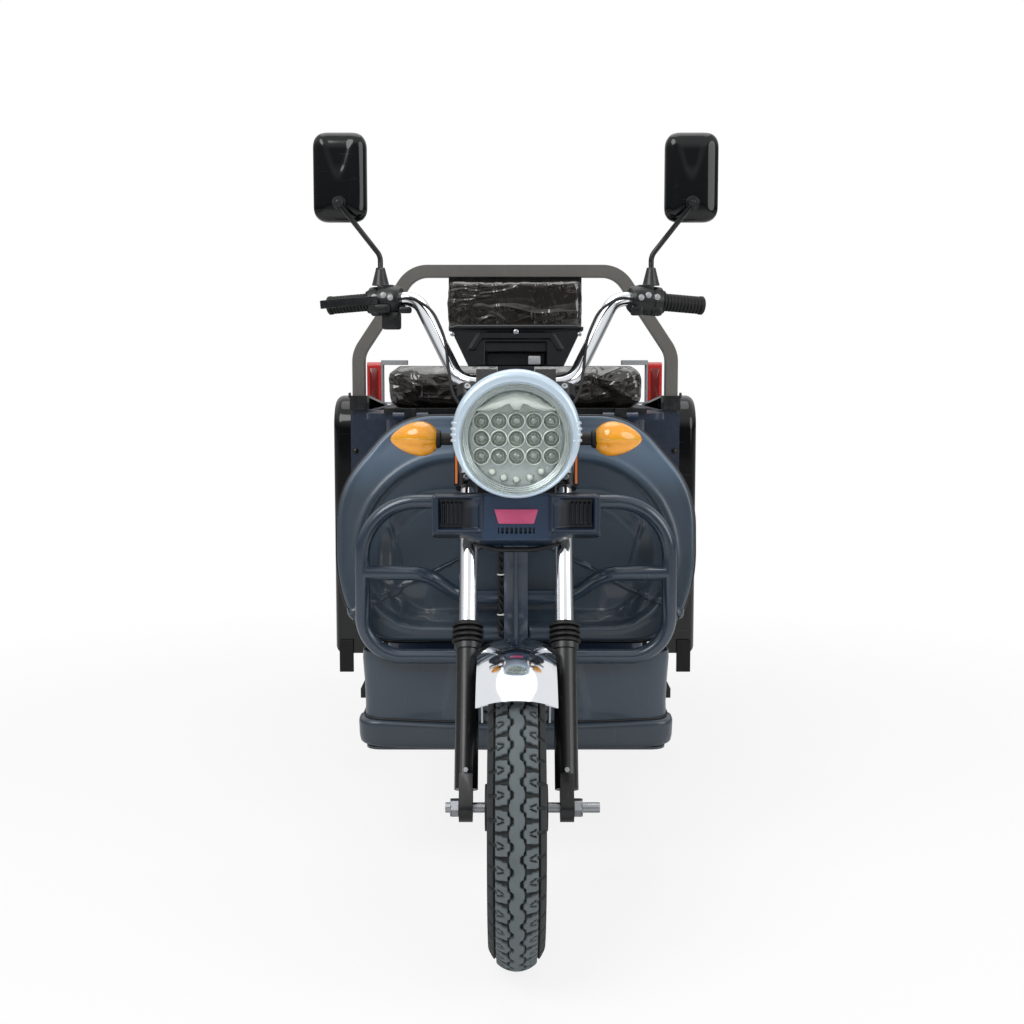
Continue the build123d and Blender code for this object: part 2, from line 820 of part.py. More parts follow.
# Brake lever: a flat blade in front of the left grip, its root on the front of the housing
lever_places = (
    # forward of the bar, inboard of the grip's end
    (switch_radius + fit_gap + lever_thickness / 2, grip_length + grip_cap + lever_root_inset),
    (lever_reach, grip_length + grip_cap - lever_elbow_inset),
    (lever_tip_reach, 0),
)
with BuildPart() as brake_lever:
    lever_points = [bar_end[-1].from_local_coords(Vector(-ahead, 0, inset)) for ahead, inset in lever_places]
    with BuildLine() as lever_line:
        FilletPolyline(*lever_points, radius=lever_bend)
    with BuildSketch(Plane(origin=lever_line.line @ 0, x_dir=bar_end[-1].y_dir, z_dir=lever_line.line % 0)):
        Rectangle(lever_width, lever_thickness)
    sweep(path=lever_line.line)
finish(brake_lever.part, "brake_lever")

# Mirrors: bent stems that rise from the switch housings to a ball behind each head
mirror_inset = (grip_end - mirror_foot_x) / (grip_end - bar_shoulder_x)
mirror_station = grip_station + (bar_shoulder_station - grip_station) * mirror_inset
mirror_bar_height = grip_height + (bar_shoulder_height - grip_height) * mirror_inset
mirror_foot_height = mirror_bar_height + switch_radius + mirror_seat_lift
mirror_boss_height = mirror_foot_height + mirror_knee_rise + mirror_boss_rise
mirror_centre_height = mirror_boss_height + mirror_head_lift
with BuildPart() as mirror_stems:
    for side in left_and_right:
        foot = Vector(side * mirror_foot_x, behind(mirror_station), mirror_foot_height)
        with BuildLine() as stem_line:
            FilletPolyline(
                foot,
                foot + (0, 0, mirror_knee_rise),
                (side * mirror_boss_x, behind(mirror_station), mirror_boss_height),
                radius=mirror_stem_bend,
            )
        with BuildSketch(Plane(origin=stem_line.line @ 0, z_dir=stem_line.line % 0)):
            Circle(mirror_stem_diameter / 2)
        sweep(path=stem_line.line)
        with BuildSketch(Plane(origin=foot)):
            Circle(mirror_boot_radius)
        extrude(amount=mirror_boot_height, taper=mirror_boot_taper_deg)
        with BuildSketch(facing(mirror_station)):
            with Locations((side * mirror_boss_x, mirror_boss_height)):
                Circle(mirror_boss_radius)
        extrude(amount=mirror_boss_radius, both=True)
finish(mirror_stems.part, "mirror_stems")

with BuildPart() as mirror_heads:
    for side in left_and_right:
        head_face = Plane(
            origin=(side * mirror_boss_x, behind(mirror_station) + mirror_boss_radius, mirror_centre_height),
            x_dir=(cos(radians(mirror_tilt_deg)), 0, side * sin(radians(mirror_tilt_deg))),
            z_dir=(0, -1, 0),
        )
        with BuildSketch(head_face.offset(-fit_gap)):
            RectangleRounded(mirror_width, mirror_height, mirror_corner)
        extrude(amount=-mirror_depth)
    fillet(mirror_heads.faces().group_by(Axis.Y)[0].edges(), mirror_back_round)
finish(mirror_heads.part, "mirror_heads")


# Cables from the switch housings, down past the cowl and behind the lamp into its back
cable_route = (
    # across, behind the front axle, height
    (140.0, 372.0, 968.0),
    (116.0, 330.0, 918.0),
    (110.0, 285.0, 868.0),
    (100.0, 243.0, 822.0),
    (66.0, 222.0, 790.0),
    (24.0, 220.0, 776.0),
)
cable_end = (24.0, lamp_face + lamp_depth + fit_gap, 776.0)
with BuildPart() as control_cables:
    for side in left_and_right:
        cable_plane = bar_end[side].offset(grip_length + grip_cap + switch_length)
        cable_start = cable_plane.from_local_coords(Vector(-cable_setback, 0, 0))
        cable_exit = cable_plane.from_local_coords(Vector(-cable_setback, 0, cable_lead))
        route = [cable_start, cable_exit]
        route += [Vector(side * x, behind(station), height) for x, station, height in cable_route + (cable_end,)]
        radii = []
        for before, corner, after in zip(route, route[1:], route[2:]):
            run = min((corner - before).length, (after - corner).length)
            turn = radians((corner - before).get_angle(after - corner))
            radii.append(cable_arc_share * run / tan(turn / 2))
        print("cable radii", [round(radius) for radius in radii])
        with BuildLine() as cable_line:
            FilletPolyline(*route, radius=radii)
        with BuildSketch(Plane(origin=cable_line.line @ 0, z_dir=cable_line.line % 0)) as cable_section:
            Circle(cable_diameter / 2)
        sweep(path=cable_line.line)
        print("cable volume by section and length", sum(e.length for e in cable_line.edges()) * cable_section.sketch.area)
print("cable volume", control_cables.part.volume)
finish(control_cables.part, "control_cables")

# Dash cowl
with BuildPart() as dash_cowl:
    cowl_outline = mirrored([(cowl_bottom_half, cowl_bottom), (cowl_top_half, cowl_top)])
    with BuildSketch(facing(cowl_station)):
        with BuildLine():
            Polyline(*cowl_outline, close=True)
        make_face()
    extrude(amount=-cowl_depth)
    fillet(dash_cowl.edges().filter_by(Axis.Y), cowl_round)
    opening_foot = cowl_bottom + cowl_opening_rise
    opening_outline = mirrored(
        [
            (cowl_opening_foot_half, opening_foot),
            (cowl_opening_top_half, opening_foot + cowl_opening_height),
        ]
    )
    with BuildSketch(facing(cowl_station)) as cowl_opening:
        with BuildLine():
            Polyline(*opening_outline, close=True)
        make_face()
    with BuildSketch(facing(cowl_station)):
        add(cowl_opening.sketch_local)
        offset(amount=cowl_rib)
        with Locations((0, cowl_top - cowl_lip / 2)):
            Rectangle(2 * (cowl_top_half - cowl_round), cowl_lip)
    extrude(amount=cowl_rib_height)
    extrude(cowl_opening.sketch, amount=cowl_rib_height, mode=Mode.SUBTRACT)
    extrude(cowl_opening.sketch, amount=-cowl_recess, mode=Mode.SUBTRACT)
    with BuildSketch(facing(cowl_station + cowl_recess)):
        with Locations((0, opening_foot + cowl_opening_height / 2)):
            Rectangle(cowl_block, cowl_block)
    extrude(amount=cowl_recess / 2)
finish(dash_cowl.part, "dash_cowl")

with BuildPart() as cowl_bracket:
    cap_top = Vector(*on_fork(0, bar_foot_back, bar_foot_along + riser_radius + fit_gap))
    with BuildSketch(Plane(origin=(0, cap_top.Y, cowl_bottom - fit_gap))):
        Rectangle(cowl_bracket_width, cowl_bracket_depth)
    extrude(amount=-(cowl_bottom - fit_gap - bar_foot_height - bar_diameter / 2 - fit_gap))
finish(cowl_bracket.part, "cowl_bracket")

# Leg shield: a hollow moulded front with a deep pocket for the fork to swing in
shield_tilt = radians(shield_tilt_deg)
shield_plane = Plane(
    origin=(0, behind(shield_front), shield_foot),
    x_dir=(1, 0, 0),
    z_dir=(0, -cos(shield_tilt), sin(shield_tilt)),
)
pocket_depth = down_tube_station + down_tube_width / 2 + fit_gap - shield_front
shield_outline = mirrored(
    [
        (shield_foot_half, 0),
        (shield_half_width, shield_side_bottom - shield_foot),
        (shield_half_width, shield_corner_height - shield_foot),
        (shield_top_half, shield_top - shield_foot),
    ]
)
pocket_outline = mirrored(
    [
        (shield_foot_half - pocket_inset, pocket_inset / 2),
        (shield_half_width - pocket_inset, shield_side_bottom - shield_foot),
        (shield_half_width - pocket_inset, shield_corner_height - shield_foot - pocket_inset),
        (shield_top_half, shield_top - shield_foot - pocket_top_inset),
    ]
)


def shield_sketch(outline, rounding, grown):
    """Rounded outline on the shield's plane, grown or shrunk all round."""
    with BuildSketch(shield_plane) as sketch:
        with BuildLine():
            Polyline(*outline, close=True)
        make_face()
        fillet(sketch.vertices(), rounding)
        if grown:
            offset(amount=grown, mode=Mode.REPLACE)
    return sketch.sketch


shell_outer = shield_sketch(shield_outline, shield_round, 0)
shell_inner = shield_sketch(shield_outline, shield_round, -shield_wall)
pocket_inner = shield_sketch(pocket_outline, pocket_round, 0)
pocket_outer = shield_sketch(pocket_outline, pocket_round, shield_wall)
bead_outer = shield_sketch(pocket_outline, pocket_round, shield_bead_width)
with BuildPart() as leg_shield:
    extrude(shell_outer, amount=-shield_depth)
    fillet(leg_shield.faces().sort_by(Axis.Y)[0].edges(), shield_edge_round)
    extrude(pocket_inner, amount=-pocket_depth, mode=Mode.SUBTRACT)
    hollow = extrude(shell_inner, amount=-shield_depth - overrun, mode=Mode.PRIVATE)
    pocket_block = extrude(pocket_outer, amount=-pocket_depth - shield_wall, mode=Mode.PRIVATE)
    front_skin = extrude(shell_outer, amount=-shield_edge_round, mode=Mode.PRIVATE)
    add(hollow - pocket_block - front_skin, mode=Mode.SUBTRACT)
    bead_block = extrude(bead_outer, amount=shield_bead_height, mode=Mode.PRIVATE)
    bead_window = extrude(pocket_inner, amount=shield_bead_height, mode=Mode.PRIVATE)
    add(bead_block - bead_window)
    with BuildSketch(facing(shield_front - overrun)):
        with Locations((0, shield_foot)):
            Rectangle(down_tube_width + 2 * tube_clearance, 2 * pocket_inset)
    extrude(amount=-(pocket_depth + overrun + fit_gap), mode=Mode.SUBTRACT)
finish(leg_shield.part, "leg_shield")

# Apron below the shield: a tub open at its top and rear, with a stepped lip round its foot
with BuildPart() as apron:
    apron_height = apron_top - apron_bottom
    with BuildSketch(facing(apron_front)):
        with Locations((0, apron_bottom + apron_height / 2)):
            Rectangle(2 * apron_half_width, apron_height)
    extrude(amount=-apron_depth)
    fillet(apron.edges().filter_by(Axis.Z).group_by(Axis.Y)[0], apron_corner)
    with BuildSketch(Plane.XY.offset(apron_bottom)):
        with Locations((0, behind(apron_front) + (apron_depth - apron_lip_reach) / 2)):
            Rectangle(2 * (apron_half_width + apron_lip_reach), apron_depth + apron_lip_reach)
    extrude(amount=apron_lip_height)
    with BuildSketch(Plane.XY.offset(apron_bottom + apron_wall)):
        with Locations((0, behind(apron_front) + apron_wall + apron_depth / 2)):
            Rectangle(2 * (apron_half_width - apron_wall), apron_depth)
    extrude(amount=apron_height, mode=Mode.SUBTRACT)
finish(apron.part, "apron")

# Guard bar: one closed loop of tube, with two bars that curve in to the down tube
guard_y = behind(guard_station)
guard_rounds = (guard_lower_round, guard_lower_round, guard_upper_round, guard_upper_round)
with BuildPart() as guard_bar:
    with BuildLine() as guard_line:
        FilletPolyline(
            (-guard_half_width, guard_y, guard_bottom),
            (guard_half_width, guard_y, guard_bottom),
            (guard_half_width, guard_y, guard_top),
            (-guard_half_width, guard_y, guard_top),
            radius=guard_rounds,
            close=True,
        )
    with BuildSketch(Plane(origin=guard_line.line @ 0, z_dir=guard_line.line % 0)):
        Circle(guard_tube / 2)
    sweep(path=guard_line.line)
    weld_y = behind(down_tube_station) - guard_weld_setback
    weld_height = guard_middle - guard_middle_drop
    for side in left_and_right:
        weld_x = side * (down_tube_width / 2 + fit_gap)
        with BuildLine() as middle_line:
            FilletPolyline(
                (weld_x, weld_y, weld_height),
                (side * guard_middle_inner, weld_y, weld_height),
                (side * guard_middle_outer, guard_y, guard_middle),
                (side * guard_half_width, guard_y, guard_middle),
                radius=guard_middle_bend,
            )
        with BuildSketch(Plane(origin=middle_line.line @ 0, z_dir=middle_line.line % 0)):
            Circle(guard_tube / 2)
        sweep(path=middle_line.line)
finish(guard_bar.part, "guard_bar")

# Main frame: head tube, down tube and spine, two kicked-up rails and the cross members
floor_bottom = bed_floor_top - bed_floor_thickness - fit_gap
rail_rear = wheelbase + rear_overhang - tow_reach - beam_depth - fit_gap
rail_front = apron_front + down_tube_station - shield_front
head_axis_plane = fork_plane.offset(head_tube_bottom)
head_join = on_fork(0, fork_offset + head_join_back, fork_middle - head_join_drop)
cross_pitch = (cross_last - cross_first) / (cross_count - 1)
with BuildPart() as main_frame:
    with BuildLine() as spine_line:
        FilletPolyline(
            head_join,
            (0, behind(down_tube_station), head_join[2] - neck_drop),
            (0, behind(down_tube_station), rail_low),
            (0, behind(spine_end), rail_low),
            radius=down_tube_bend,
        )
    with BuildSketch(Plane(origin=spine_line.line @ 0, x_dir=(1, 0, 0), z_dir=spine_line.line % 0)):
        Rectangle(down_tube_width, down_tube_width)
    sweep(path=spine_line.line)
    with BuildSketch(head_axis_plane):
        with Locations((0, fork_offset)):
            Circle(head_tube_radius)
    extrude(amount=head_tube_top - head_tube_bottom)
    with BuildSketch(head_axis_plane):
        with Locations((0, fork_offset)):
            Circle(steerer_radius + fit_gap)
    extrude(amount=head_tube_top, mode=Mode.SUBTRACT)
    for side in left_and_right:
        with BuildLine() as rail_line:
            FilletPolyline(
                (side * rail_x, behind(rail_front), rail_low),
                (side * rail_x, behind(rail_rise_start), rail_low),
                (side * rail_x, behind(rail_rise_end), rail_high),
                (side * rail_x, behind(rail_rear), rail_high),
                radius=rail_bend,
            )
        with BuildSketch(Plane(origin=rail_line.line @ 0, x_dir=(1, 0, 0), z_dir=(0, 1, 0))):
            Rectangle(rail_width, rail_height)
        sweep(path=rail_line.line)
    for low_station in (rail_front + rail_width, spine_end):
        with BuildSketch(Plane.XY.offset(rail_low - rail_height / 2)):
            with Locations((0, behind(low_station))):
                Rectangle(2 * rail_x + rail_width, cross_depth)
        extrude(amount=rail_height)
    for cross in range(cross_count):
        with BuildSketch(Plane.XY.offset(rail_high + rail_height / 2)):
            with Locations((0, behind(cross_first + cross * cross_pitch))):
                Rectangle(2 * bed_half_width - 2 * bed_wall, cross_depth)
        extrude(amount=floor_bottom - rail_high - rail_height / 2)
finish(main_frame.part, "main_frame")

# Loom tied to the front of the down tube
loom_foot = apron_top + fit_gap
with BuildPart() as frame_loom:
    with BuildSketch(Plane.XY.offset(loom_foot)):
        with Locations((0, behind(down_tube_station) - down_tube_width / 2 - loom_diameter / 2 - fit_gap)):
            Circle(loom_diameter / 2)
    extrude(amount=loom_top - loom_foot)
finish(frame_loom.part, "frame_loom")

# Floor board for the feet
floor_front = apron_front + apron_depth + fit_gap
floor_under = rail_low + rail_height / 2 + fit_gap
with BuildPart() as floor_board:
    with BuildSketch(Plane.XY.offset(floor_under)):
        with Locations((0, behind((floor_front + floor_rear) / 2))):
            Rectangle(2 * floor_half_width, floor_rear - floor_front)
    extrude(amount=floor_height - floor_under)
finish(floor_board.part, "floor_board")

# Seat box: hollow, open at its top, with a wide rim that the lid closes
seat_box_middle = behind((seat_box_front + seat_box_rear) / 2)
seat_box_length = seat_box_rear - seat_box_front
seat_box_foot = floor_height + fit_gap
seat_axis_y = behind(seat_front) - knuckle_radius
seat_axis_height = seat_box_top + seat_rim_height - hinge_drop
knuckle_step = knuckle_length + knuckle_gap


def knuckles(places, y, z):
    """Hinge barrels along X at the given places."""
    for place in places:
        with BuildSketch(Plane.YZ.offset(place - knuckle_length / 2)) as barrel:
            with Locations((y, z)):
                Circle(knuckle_radius)
        extrude(barrel.sketch, amount=knuckle_length)


def pins(places, y, z):
    """Hinge pins along X, each as long as three barrels."""
    for place in places:
        with BuildSketch(Plane.YZ.offset(place - knuckle_step - knuckle_length / 2)) as pin:
            with Locations((y, z)):
                Circle(hinge_pin_radius)
        extrude(pin.sketch, amount=2 * knuckle_step + knuckle_length)


hinge_places = [side * hinge_x for side in left_and_right]
outer_knuckles = [place + side * knuckle_step for place in hinge_places for side in left_and_right]

with BuildPart() as seat_box:
    with BuildSketch(Plane.XY.offset(seat_box_foot)):
        with Locations((0, seat_box_middle)):
            RectangleRounded(2 * seat_box_half, seat_box_length, seat_box_round)
    extrude(amount=seat_box_top + seat_rim_height - seat_box_foot)
    with BuildSketch(Plane.XY.offset(seat_box_top)):
        with Locations((0, seat_box_middle)):
            RectangleRounded(2 * seat_rim_half, seat_box_length, seat_box_round)
    extrude(amount=seat_rim_height)
    with BuildSketch(Plane.XY.offset(seat_box_foot + seat_box_wall)):
        with Locations((0, seat_box_middle)):
            RectangleRounded(
                2 * (seat_box_half - seat_box_wall),
                seat_box_length - 2 * seat_box_wall,
                seat_box_round - seat_box_wall,
            )
    extrude(amount=seat_box_top + seat_rim_height, mode=Mode.SUBTRACT)
    for place in outer_knuckles:
        with BuildSketch(Plane.YZ.offset(place - knuckle_length / 2)):
            with Locations(((seat_axis_y + behind(seat_box_front)) / 2, seat_box_top + seat_rim_height / 3)):
                Rectangle(behind(seat_box_front) - seat_axis_y + seat_box_wall, seat_rim_height / 2)
        extrude(amount=knuckle_length)
    knuckles(outer_knuckles, seat_axis_y, seat_axis_height)
    pins(hinge_places, seat_axis_y, seat_axis_height)
finish(seat_box.part, "seat_box")

with BuildPart() as battery_pack:
    with BuildSketch(Plane.XY.offset(seat_box_foot + seat_box_wall + fit_gap)):
        with Locations((0, seat_box_middle)):
            Rectangle(battery_width, battery_length)
    extrude(amount=battery_height)
finish(battery_pack.part, "battery_pack")

pan_bottom = seat_box_top + seat_rim_height + fit_gap
with BuildPart() as seat_pan:
    with BuildSketch(Plane.XY.offset(pan_bottom)):
        with Locations((0, (behind(seat_front) + behind(seat_rear)) / 2)):
            Rectangle(2 * seat_half_width, seat_rear - seat_front)
    extrude(amount=seat_pan_thickness)
    for place in hinge_places:
        with BuildSketch(Plane.YZ.offset(place - knuckle_length / 2)):
            with Locations(((seat_axis_y + behind(seat_front)) / 2, pan_bottom + seat_pan_thickness / 2)):
                Rectangle(behind(seat_front) - seat_axis_y + seat_pan_thickness, seat_pan_thickness)
            with Locations((seat_axis_y, (seat_axis_height + pan_bottom + seat_pan_thickness) / 2)):
                Rectangle(2 * knuckle_radius, pan_bottom + seat_pan_thickness - seat_axis_height)
            with Locations((seat_axis_y, seat_axis_height)):
                Circle(knuckle_radius)
                Circle(hinge_pin_radius + fit_gap, mode=Mode.SUBTRACT)
        extrude(amount=knuckle_length)
finish(seat_pan.part, "seat_pan")

cushion_bottom = pan_bottom + seat_pan_thickness + fit_gap
with BuildPart() as seat_cushion:
    with BuildSketch(Plane.XY.offset(cushion_bottom)):
        with Locations((0, (behind(seat_front) + behind(seat_rear)) / 2)):
            RectangleRounded(2 * seat_half_width, seat_rear - seat_front, seat_round)
    extrude(amount=seat_thickness - seat_pan_thickness)
    fillet(seat_cushion.faces().sort_by(Axis.Z)[-1].edges(), seat_round / 2)
finish(seat_cushion.part, "seat_cushion")

# Cargo bed: floor, headboard, two side walls and a drop-down tailgate
floor_length = bed_rear - bed_front
with BuildPart() as bed_floor:
    with BuildSketch(Plane.XY.offset(bed_floor_top - bed_floor_thickness)):
        with Locations((0, behind((bed_front + bed_rear) / 2))):
            Rectangle(2 * bed_half_width, floor_length)
    extrude(amount=bed_floor_thickness)
    gate_axis_y = behind(bed_rear) + knuckle_radius + tailgate_gap
    gate_axis_height = bed_floor_top - bed_floor_thickness / 2
    for place in outer_knuckles:
        with BuildSketch(Plane.YZ.offset(place - knuckle_length / 2)):
            with Locations(((gate_axis_y + behind(bed_rear)) / 2, gate_axis_height)):
                Rectangle(gate_axis_y - behind(bed_rear), bed_floor_thickness / 2)
        extrude(amount=knuckle_length)
    knuckles(outer_knuckles, gate_axis_y, gate_axis_height)
    pins(hinge_places, gate_axis_y, gate_axis_height)
finish(bed_floor.part, "bed_floor")

wall_foot = bed_floor_top + fit_gap
with BuildPart() as headboard:
    with BuildSketch(facing(bed_front)):
        with Locations((0, (wall_foot + bed_top) / 2)):
            RectangleRounded(2 * headboard_half, bed_top - wall_foot, headboard_round)
    extrude(amount=-headboard_thickness)
finish(headboard.part, "headboard")

wall_front = bed_front + headboard_thickness + fit_gap
with BuildPart() as bed_sides:
    with BuildSketch(Plane.XY.offset(wall_foot)):
        with Locations((0, behind((wall_front + bed_rear) / 2))):
            with GridLocations(2 * bed_half_width - bed_wall, 0, 2, 1):
                Rectangle(bed_wall, bed_rear - wall_front)
    extrude(amount=bed_top - wall_foot)
finish(bed_sides.part, "bed_sides")

gate_foot = bed_floor_top + tailgate_gap
gate_front = bed_rear + tailgate_gap
with BuildPart() as tailgate:
    with BuildSketch(Plane.XY.offset(gate_foot)):
        with Locations((0, behind(gate_front + tailgate_thickness / 2))):
            Rectangle(2 * bed_half_width, tailgate_thickness)
    extrude(amount=bed_top - gate_foot)
    for place in hinge_places:
        with BuildSketch(Plane.YZ.offset(place - knuckle_length / 2)):
            with Locations((behind(gate_front + tailgate_thickness / 2), (gate_foot + gate_axis_height) / 2)):
                Rectangle(tailgate_thickness, gate_foot - gate_axis_height)
            with Locations((gate_axis_y, gate_axis_height)):
                Circle(knuckle_radius)
                Circle(hinge_pin_radius + fit_gap, mode=Mode.SUBTRACT)
        extrude(amount=knuckle_length)
    gate_back = Plane(origin=(0, behind(gate_front + tailgate_thickness), 0), x_dir=(-1, 0, 0), z_dir=(0, 1, 0))
    with BuildSketch(gate_back):
        with Locations((0, (gate_foot + bed_top) / 2)):
            with GridLocations(2 * (bed_half_width - panel_rib_margin) / (panel_rib_count - 1), 0, panel_rib_count, 1):
                Rectangle(panel_rib_width, bed_top - gate_foot - 2 * panel_rib_margin)
    extrude(amount=panel_rib_height)
    fillet(tailgate.faces().sort_by(Axis.Y)[-1].edges(), panel_rib_height / 2)
    for side in left_and_right:
        with BuildSketch(gate_back):
            with Locations((side * (bed_half_width - latch_width / 2), bed_top - latch_drop - latch_height / 2)):
                Rectangle(latch_width, latch_height)
        extrude(amount=latch_thickness)
finish(tailgate.part, "tailgate")

# Hoop behind the driver, its sockets, and the backrest that hangs from it
hoop_y = behind(hoop_station)
hoop_points = []
for side in left_and_right:
    half = [
        (side * hoop_half_width, hoop_y, hoop_foot),
        (side * hoop_half_width, hoop_y, hoop_knee_height),
        (side * hoop_shoulder_x, hoop_y, hoop_top),
    ]
    hoop_points += half if side < 0 else half[::-1]
with BuildPart() as guard_hoop:
    with BuildLine() as hoop_line:
        FilletPolyline(*hoop_points, radius=hoop_corner)
    with BuildSketch(Plane(origin=hoop_line.line @ 0, x_dir=(1, 0, 0), z_dir=(0, 0, 1))):
        Rectangle(hoop_tube_width, hoop_tube_depth)
    sweep(path=hoop_line.line)
finish(guard_hoop.part, "guard_hoop")

with BuildPart() as hoop_sockets:
    with BuildSketch(Plane.XY.offset(bed_top + fit_gap)):
        with Locations((0, hoop_y)):
            with GridLocations(2 * hoop_half_width, 0, 2, 1):
                Rectangle(socket_size, hoop_tube_depth + socket_wall * 2)
    extrude(amount=socket_height)
    with BuildSketch(Plane.XY.offset(hoop_foot - fit_gap)):
        with Locations((0, hoop_y)):
            with GridLocations(2 * hoop_half_width, 0, 2, 1):
                Rectangle(hoop_tube_width + 2 * fit_gap, hoop_tube_depth + 2 * fit_gap)
    extrude(amount=socket_height, mode=Mode.SUBTRACT)
finish(hoop_sockets.part, "hoop_sockets")

board_top = hoop_top - hoop_tube_width / 2 - fit_gap
with BuildPart() as backrest_board:
    with BuildSketch(facing(hoop_station)):
        with Locations((0, (pad_bottom + board_top) / 2)):
            Rectangle(2 * pad_half_width, board_top - pad_bottom)
    extrude(amount=-backrest_thickness)
finish(backrest_board.part, "backrest_board")

with BuildPart() as backrest_pad:
    with BuildSketch(facing(hoop_station - pad_thickness - fit_gap)):
        with Locations((0, (pad_bottom + pad_top) / 2)):
            RectangleRounded(2 * pad_half_width, pad_top - pad_bottom, pad_corner)
    extrude(amount=-pad_thickness)
    fillet(backrest_pad.faces().sort_by(Axis.Y)[0].edges(), pad_corner / 2)
finish(backrest_pad.part, "backrest_pad")

# Fenders: hollow side shells, open towards the wheels and the bed, with flaps in front
fender_inner = bed_half_width + fit_gap
fender_points = (
    (fender_front, fender_bottom),
    (fender_front, fender_top),
    (fender_rear, fender_rear_top),
    (fender_rear, fender_rear_bottom),
    (wheelbase, fender_rear_bottom),
    (wheelbase, fender_bottom),
)


def fender_sketch(inset):
    """Side outline of a fender, shrunk all round by the inset."""
    with BuildSketch(Plane.YZ) as outline:
        with BuildLine():
            Polyline(*[(behind(station), height) for station, height in fender_points], close=True)
        make_face()
        if inset:
            offset(amount=-inset, kind=Kind.INTERSECTION, mode=Mode.REPLACE)
        for end in (0, -1):
            upper_corner = outline.vertices().group_by(Axis.X)[end].sort_by(Axis.Y)[-1]
            fillet(upper_corner, fender_round - inset)
        with Locations((rear_axle_y, axle_height)):
            Circle(fender_arch_radius + inset, mode=Mode.SUBTRACT)
    return outline.sketch


with BuildPart() as fender_hollow:
    extrude(fender_sketch(fender_wall), amount=-(fender_outer - fender_wall))
    fillet(fender_hollow.faces().sort_by(Axis.X)[0].outer_wire().edges(), fender_edge_round - fender_wall)
with BuildPart() as fender_left:
    extrude(fender_sketch(0), amount=-fender_outer)
    fillet(fender_left.faces().sort_by(Axis.X)[0].outer_wire().edges(), fender_edge_round)
    add(fender_hollow.part, mode=Mode.SUBTRACT)
    with BuildSketch(Plane.YZ):
        Rectangle(4 * wheelbase, 4 * wheelbase)
    extrude(amount=-fender_inner, mode=Mode.SUBTRACT)
finish(fender_left.part, "fender_left")
with BuildPart() as fender_right:
    mirror(fender_left.part, about=Plane.YZ)
finish(fender_right.part, "fender_right")

with BuildPart() as mud_flaps:
    for side in left_and_right:
        with BuildSketch(facing(fender_front - fit_gap)):
            flap_x = side * (fender_outer - flap_width / 2 - fender_edge_round / 2)
            with Locations((flap_x, fender_bottom + (flap_overlap - flap_drop) / 2)):
                Rectangle(flap_width, flap_overlap + flap_drop)
        extrude(amount=flap_thickness)
finish(mud_flaps.part, "mud_flaps")

# Tail lamps on pressed brackets that stand on the side walls
fender_fall = (fender_top - fender_rear_top) / (fender_rear - fender_front)
tail_lamp_front = lamp_bracket_station - lamp_bracket_depth / 2
tail_lamp_bottom = fender_top - (tail_lamp_front - fender_front) * fender_fall + fit_gap
bracket_width = lamp_bracket_outer - lamp_bracket_inner
bracket_foot = bed_top + fit_gap
with BuildPart() as lamp_brackets:
    for side in left_and_right:
        bracket_x = side * (lamp_bracket_inner + lamp_bracket_outer) / 2
        with BuildSketch(facing(tail_lamp_front)):
            with Locations((bracket_x, bracket_foot + lamp_bracket_wall / 2)):
                Rectangle(bracket_width, lamp_bracket_wall)
            with Locations((bracket_x, lamp_bracket_top - lamp_bracket_flange / 2)):
                Rectangle(bracket_width, lamp_bracket_flange)
            with Locations(
                (side * (lamp_bracket_outer - lamp_bracket_wall / 2), (bracket_foot + lamp_bracket_top) / 2)
            ):
                Rectangle(lamp_bracket_wall, lamp_bracket_top - bracket_foot)
        extrude(amount=-lamp_bracket_depth)
finish(lamp_brackets.part, "lamp_brackets")

with BuildPart() as tail_lamps:
    for side in left_and_right:
        with BuildSketch(Plane.YZ.offset(side * (lamp_bracket_outer + fit_gap))):
            with Locations((behind(lamp_bracket_station), (tail_lamp_top + tail_lamp_bottom) / 2)):
                RectangleRounded(lamp_bracket_depth, tail_lamp_top - tail_lamp_bottom, tail_lamp_round)
        extrude(amount=side * (tail_lamp_outer - lamp_bracket_outer))
finish(tail_lamps.part, "tail_lamps")

# Rear axle with its motor, and the leaf springs that carry the rails, held down by looped bolts
with BuildPart() as rear_axle:
    hub_inner = rear_track / 2 - wheel_hub_width / 2 - axle_shoulder_gap
    with BuildSketch(Plane.YZ):
        with Locations((rear_axle_y, axle_height)):
            Circle(axle_tube_radius)
    extrude(amount=hub_inner, both=True)
    with BuildSketch(Plane.YZ):
        with Locations((rear_axle_y, axle_height)):
            Circle(motor_radius)
    extrude(amount=motor_length / 2, both=True)
    with BuildSketch(Plane.YZ):
        with Locations((rear_axle_y, axle_height)):
            Circle(axle_diameter / 2)
    extrude(amount=rear_axle_reach, both=True)
finish(rear_axle.part, "rear_axle")

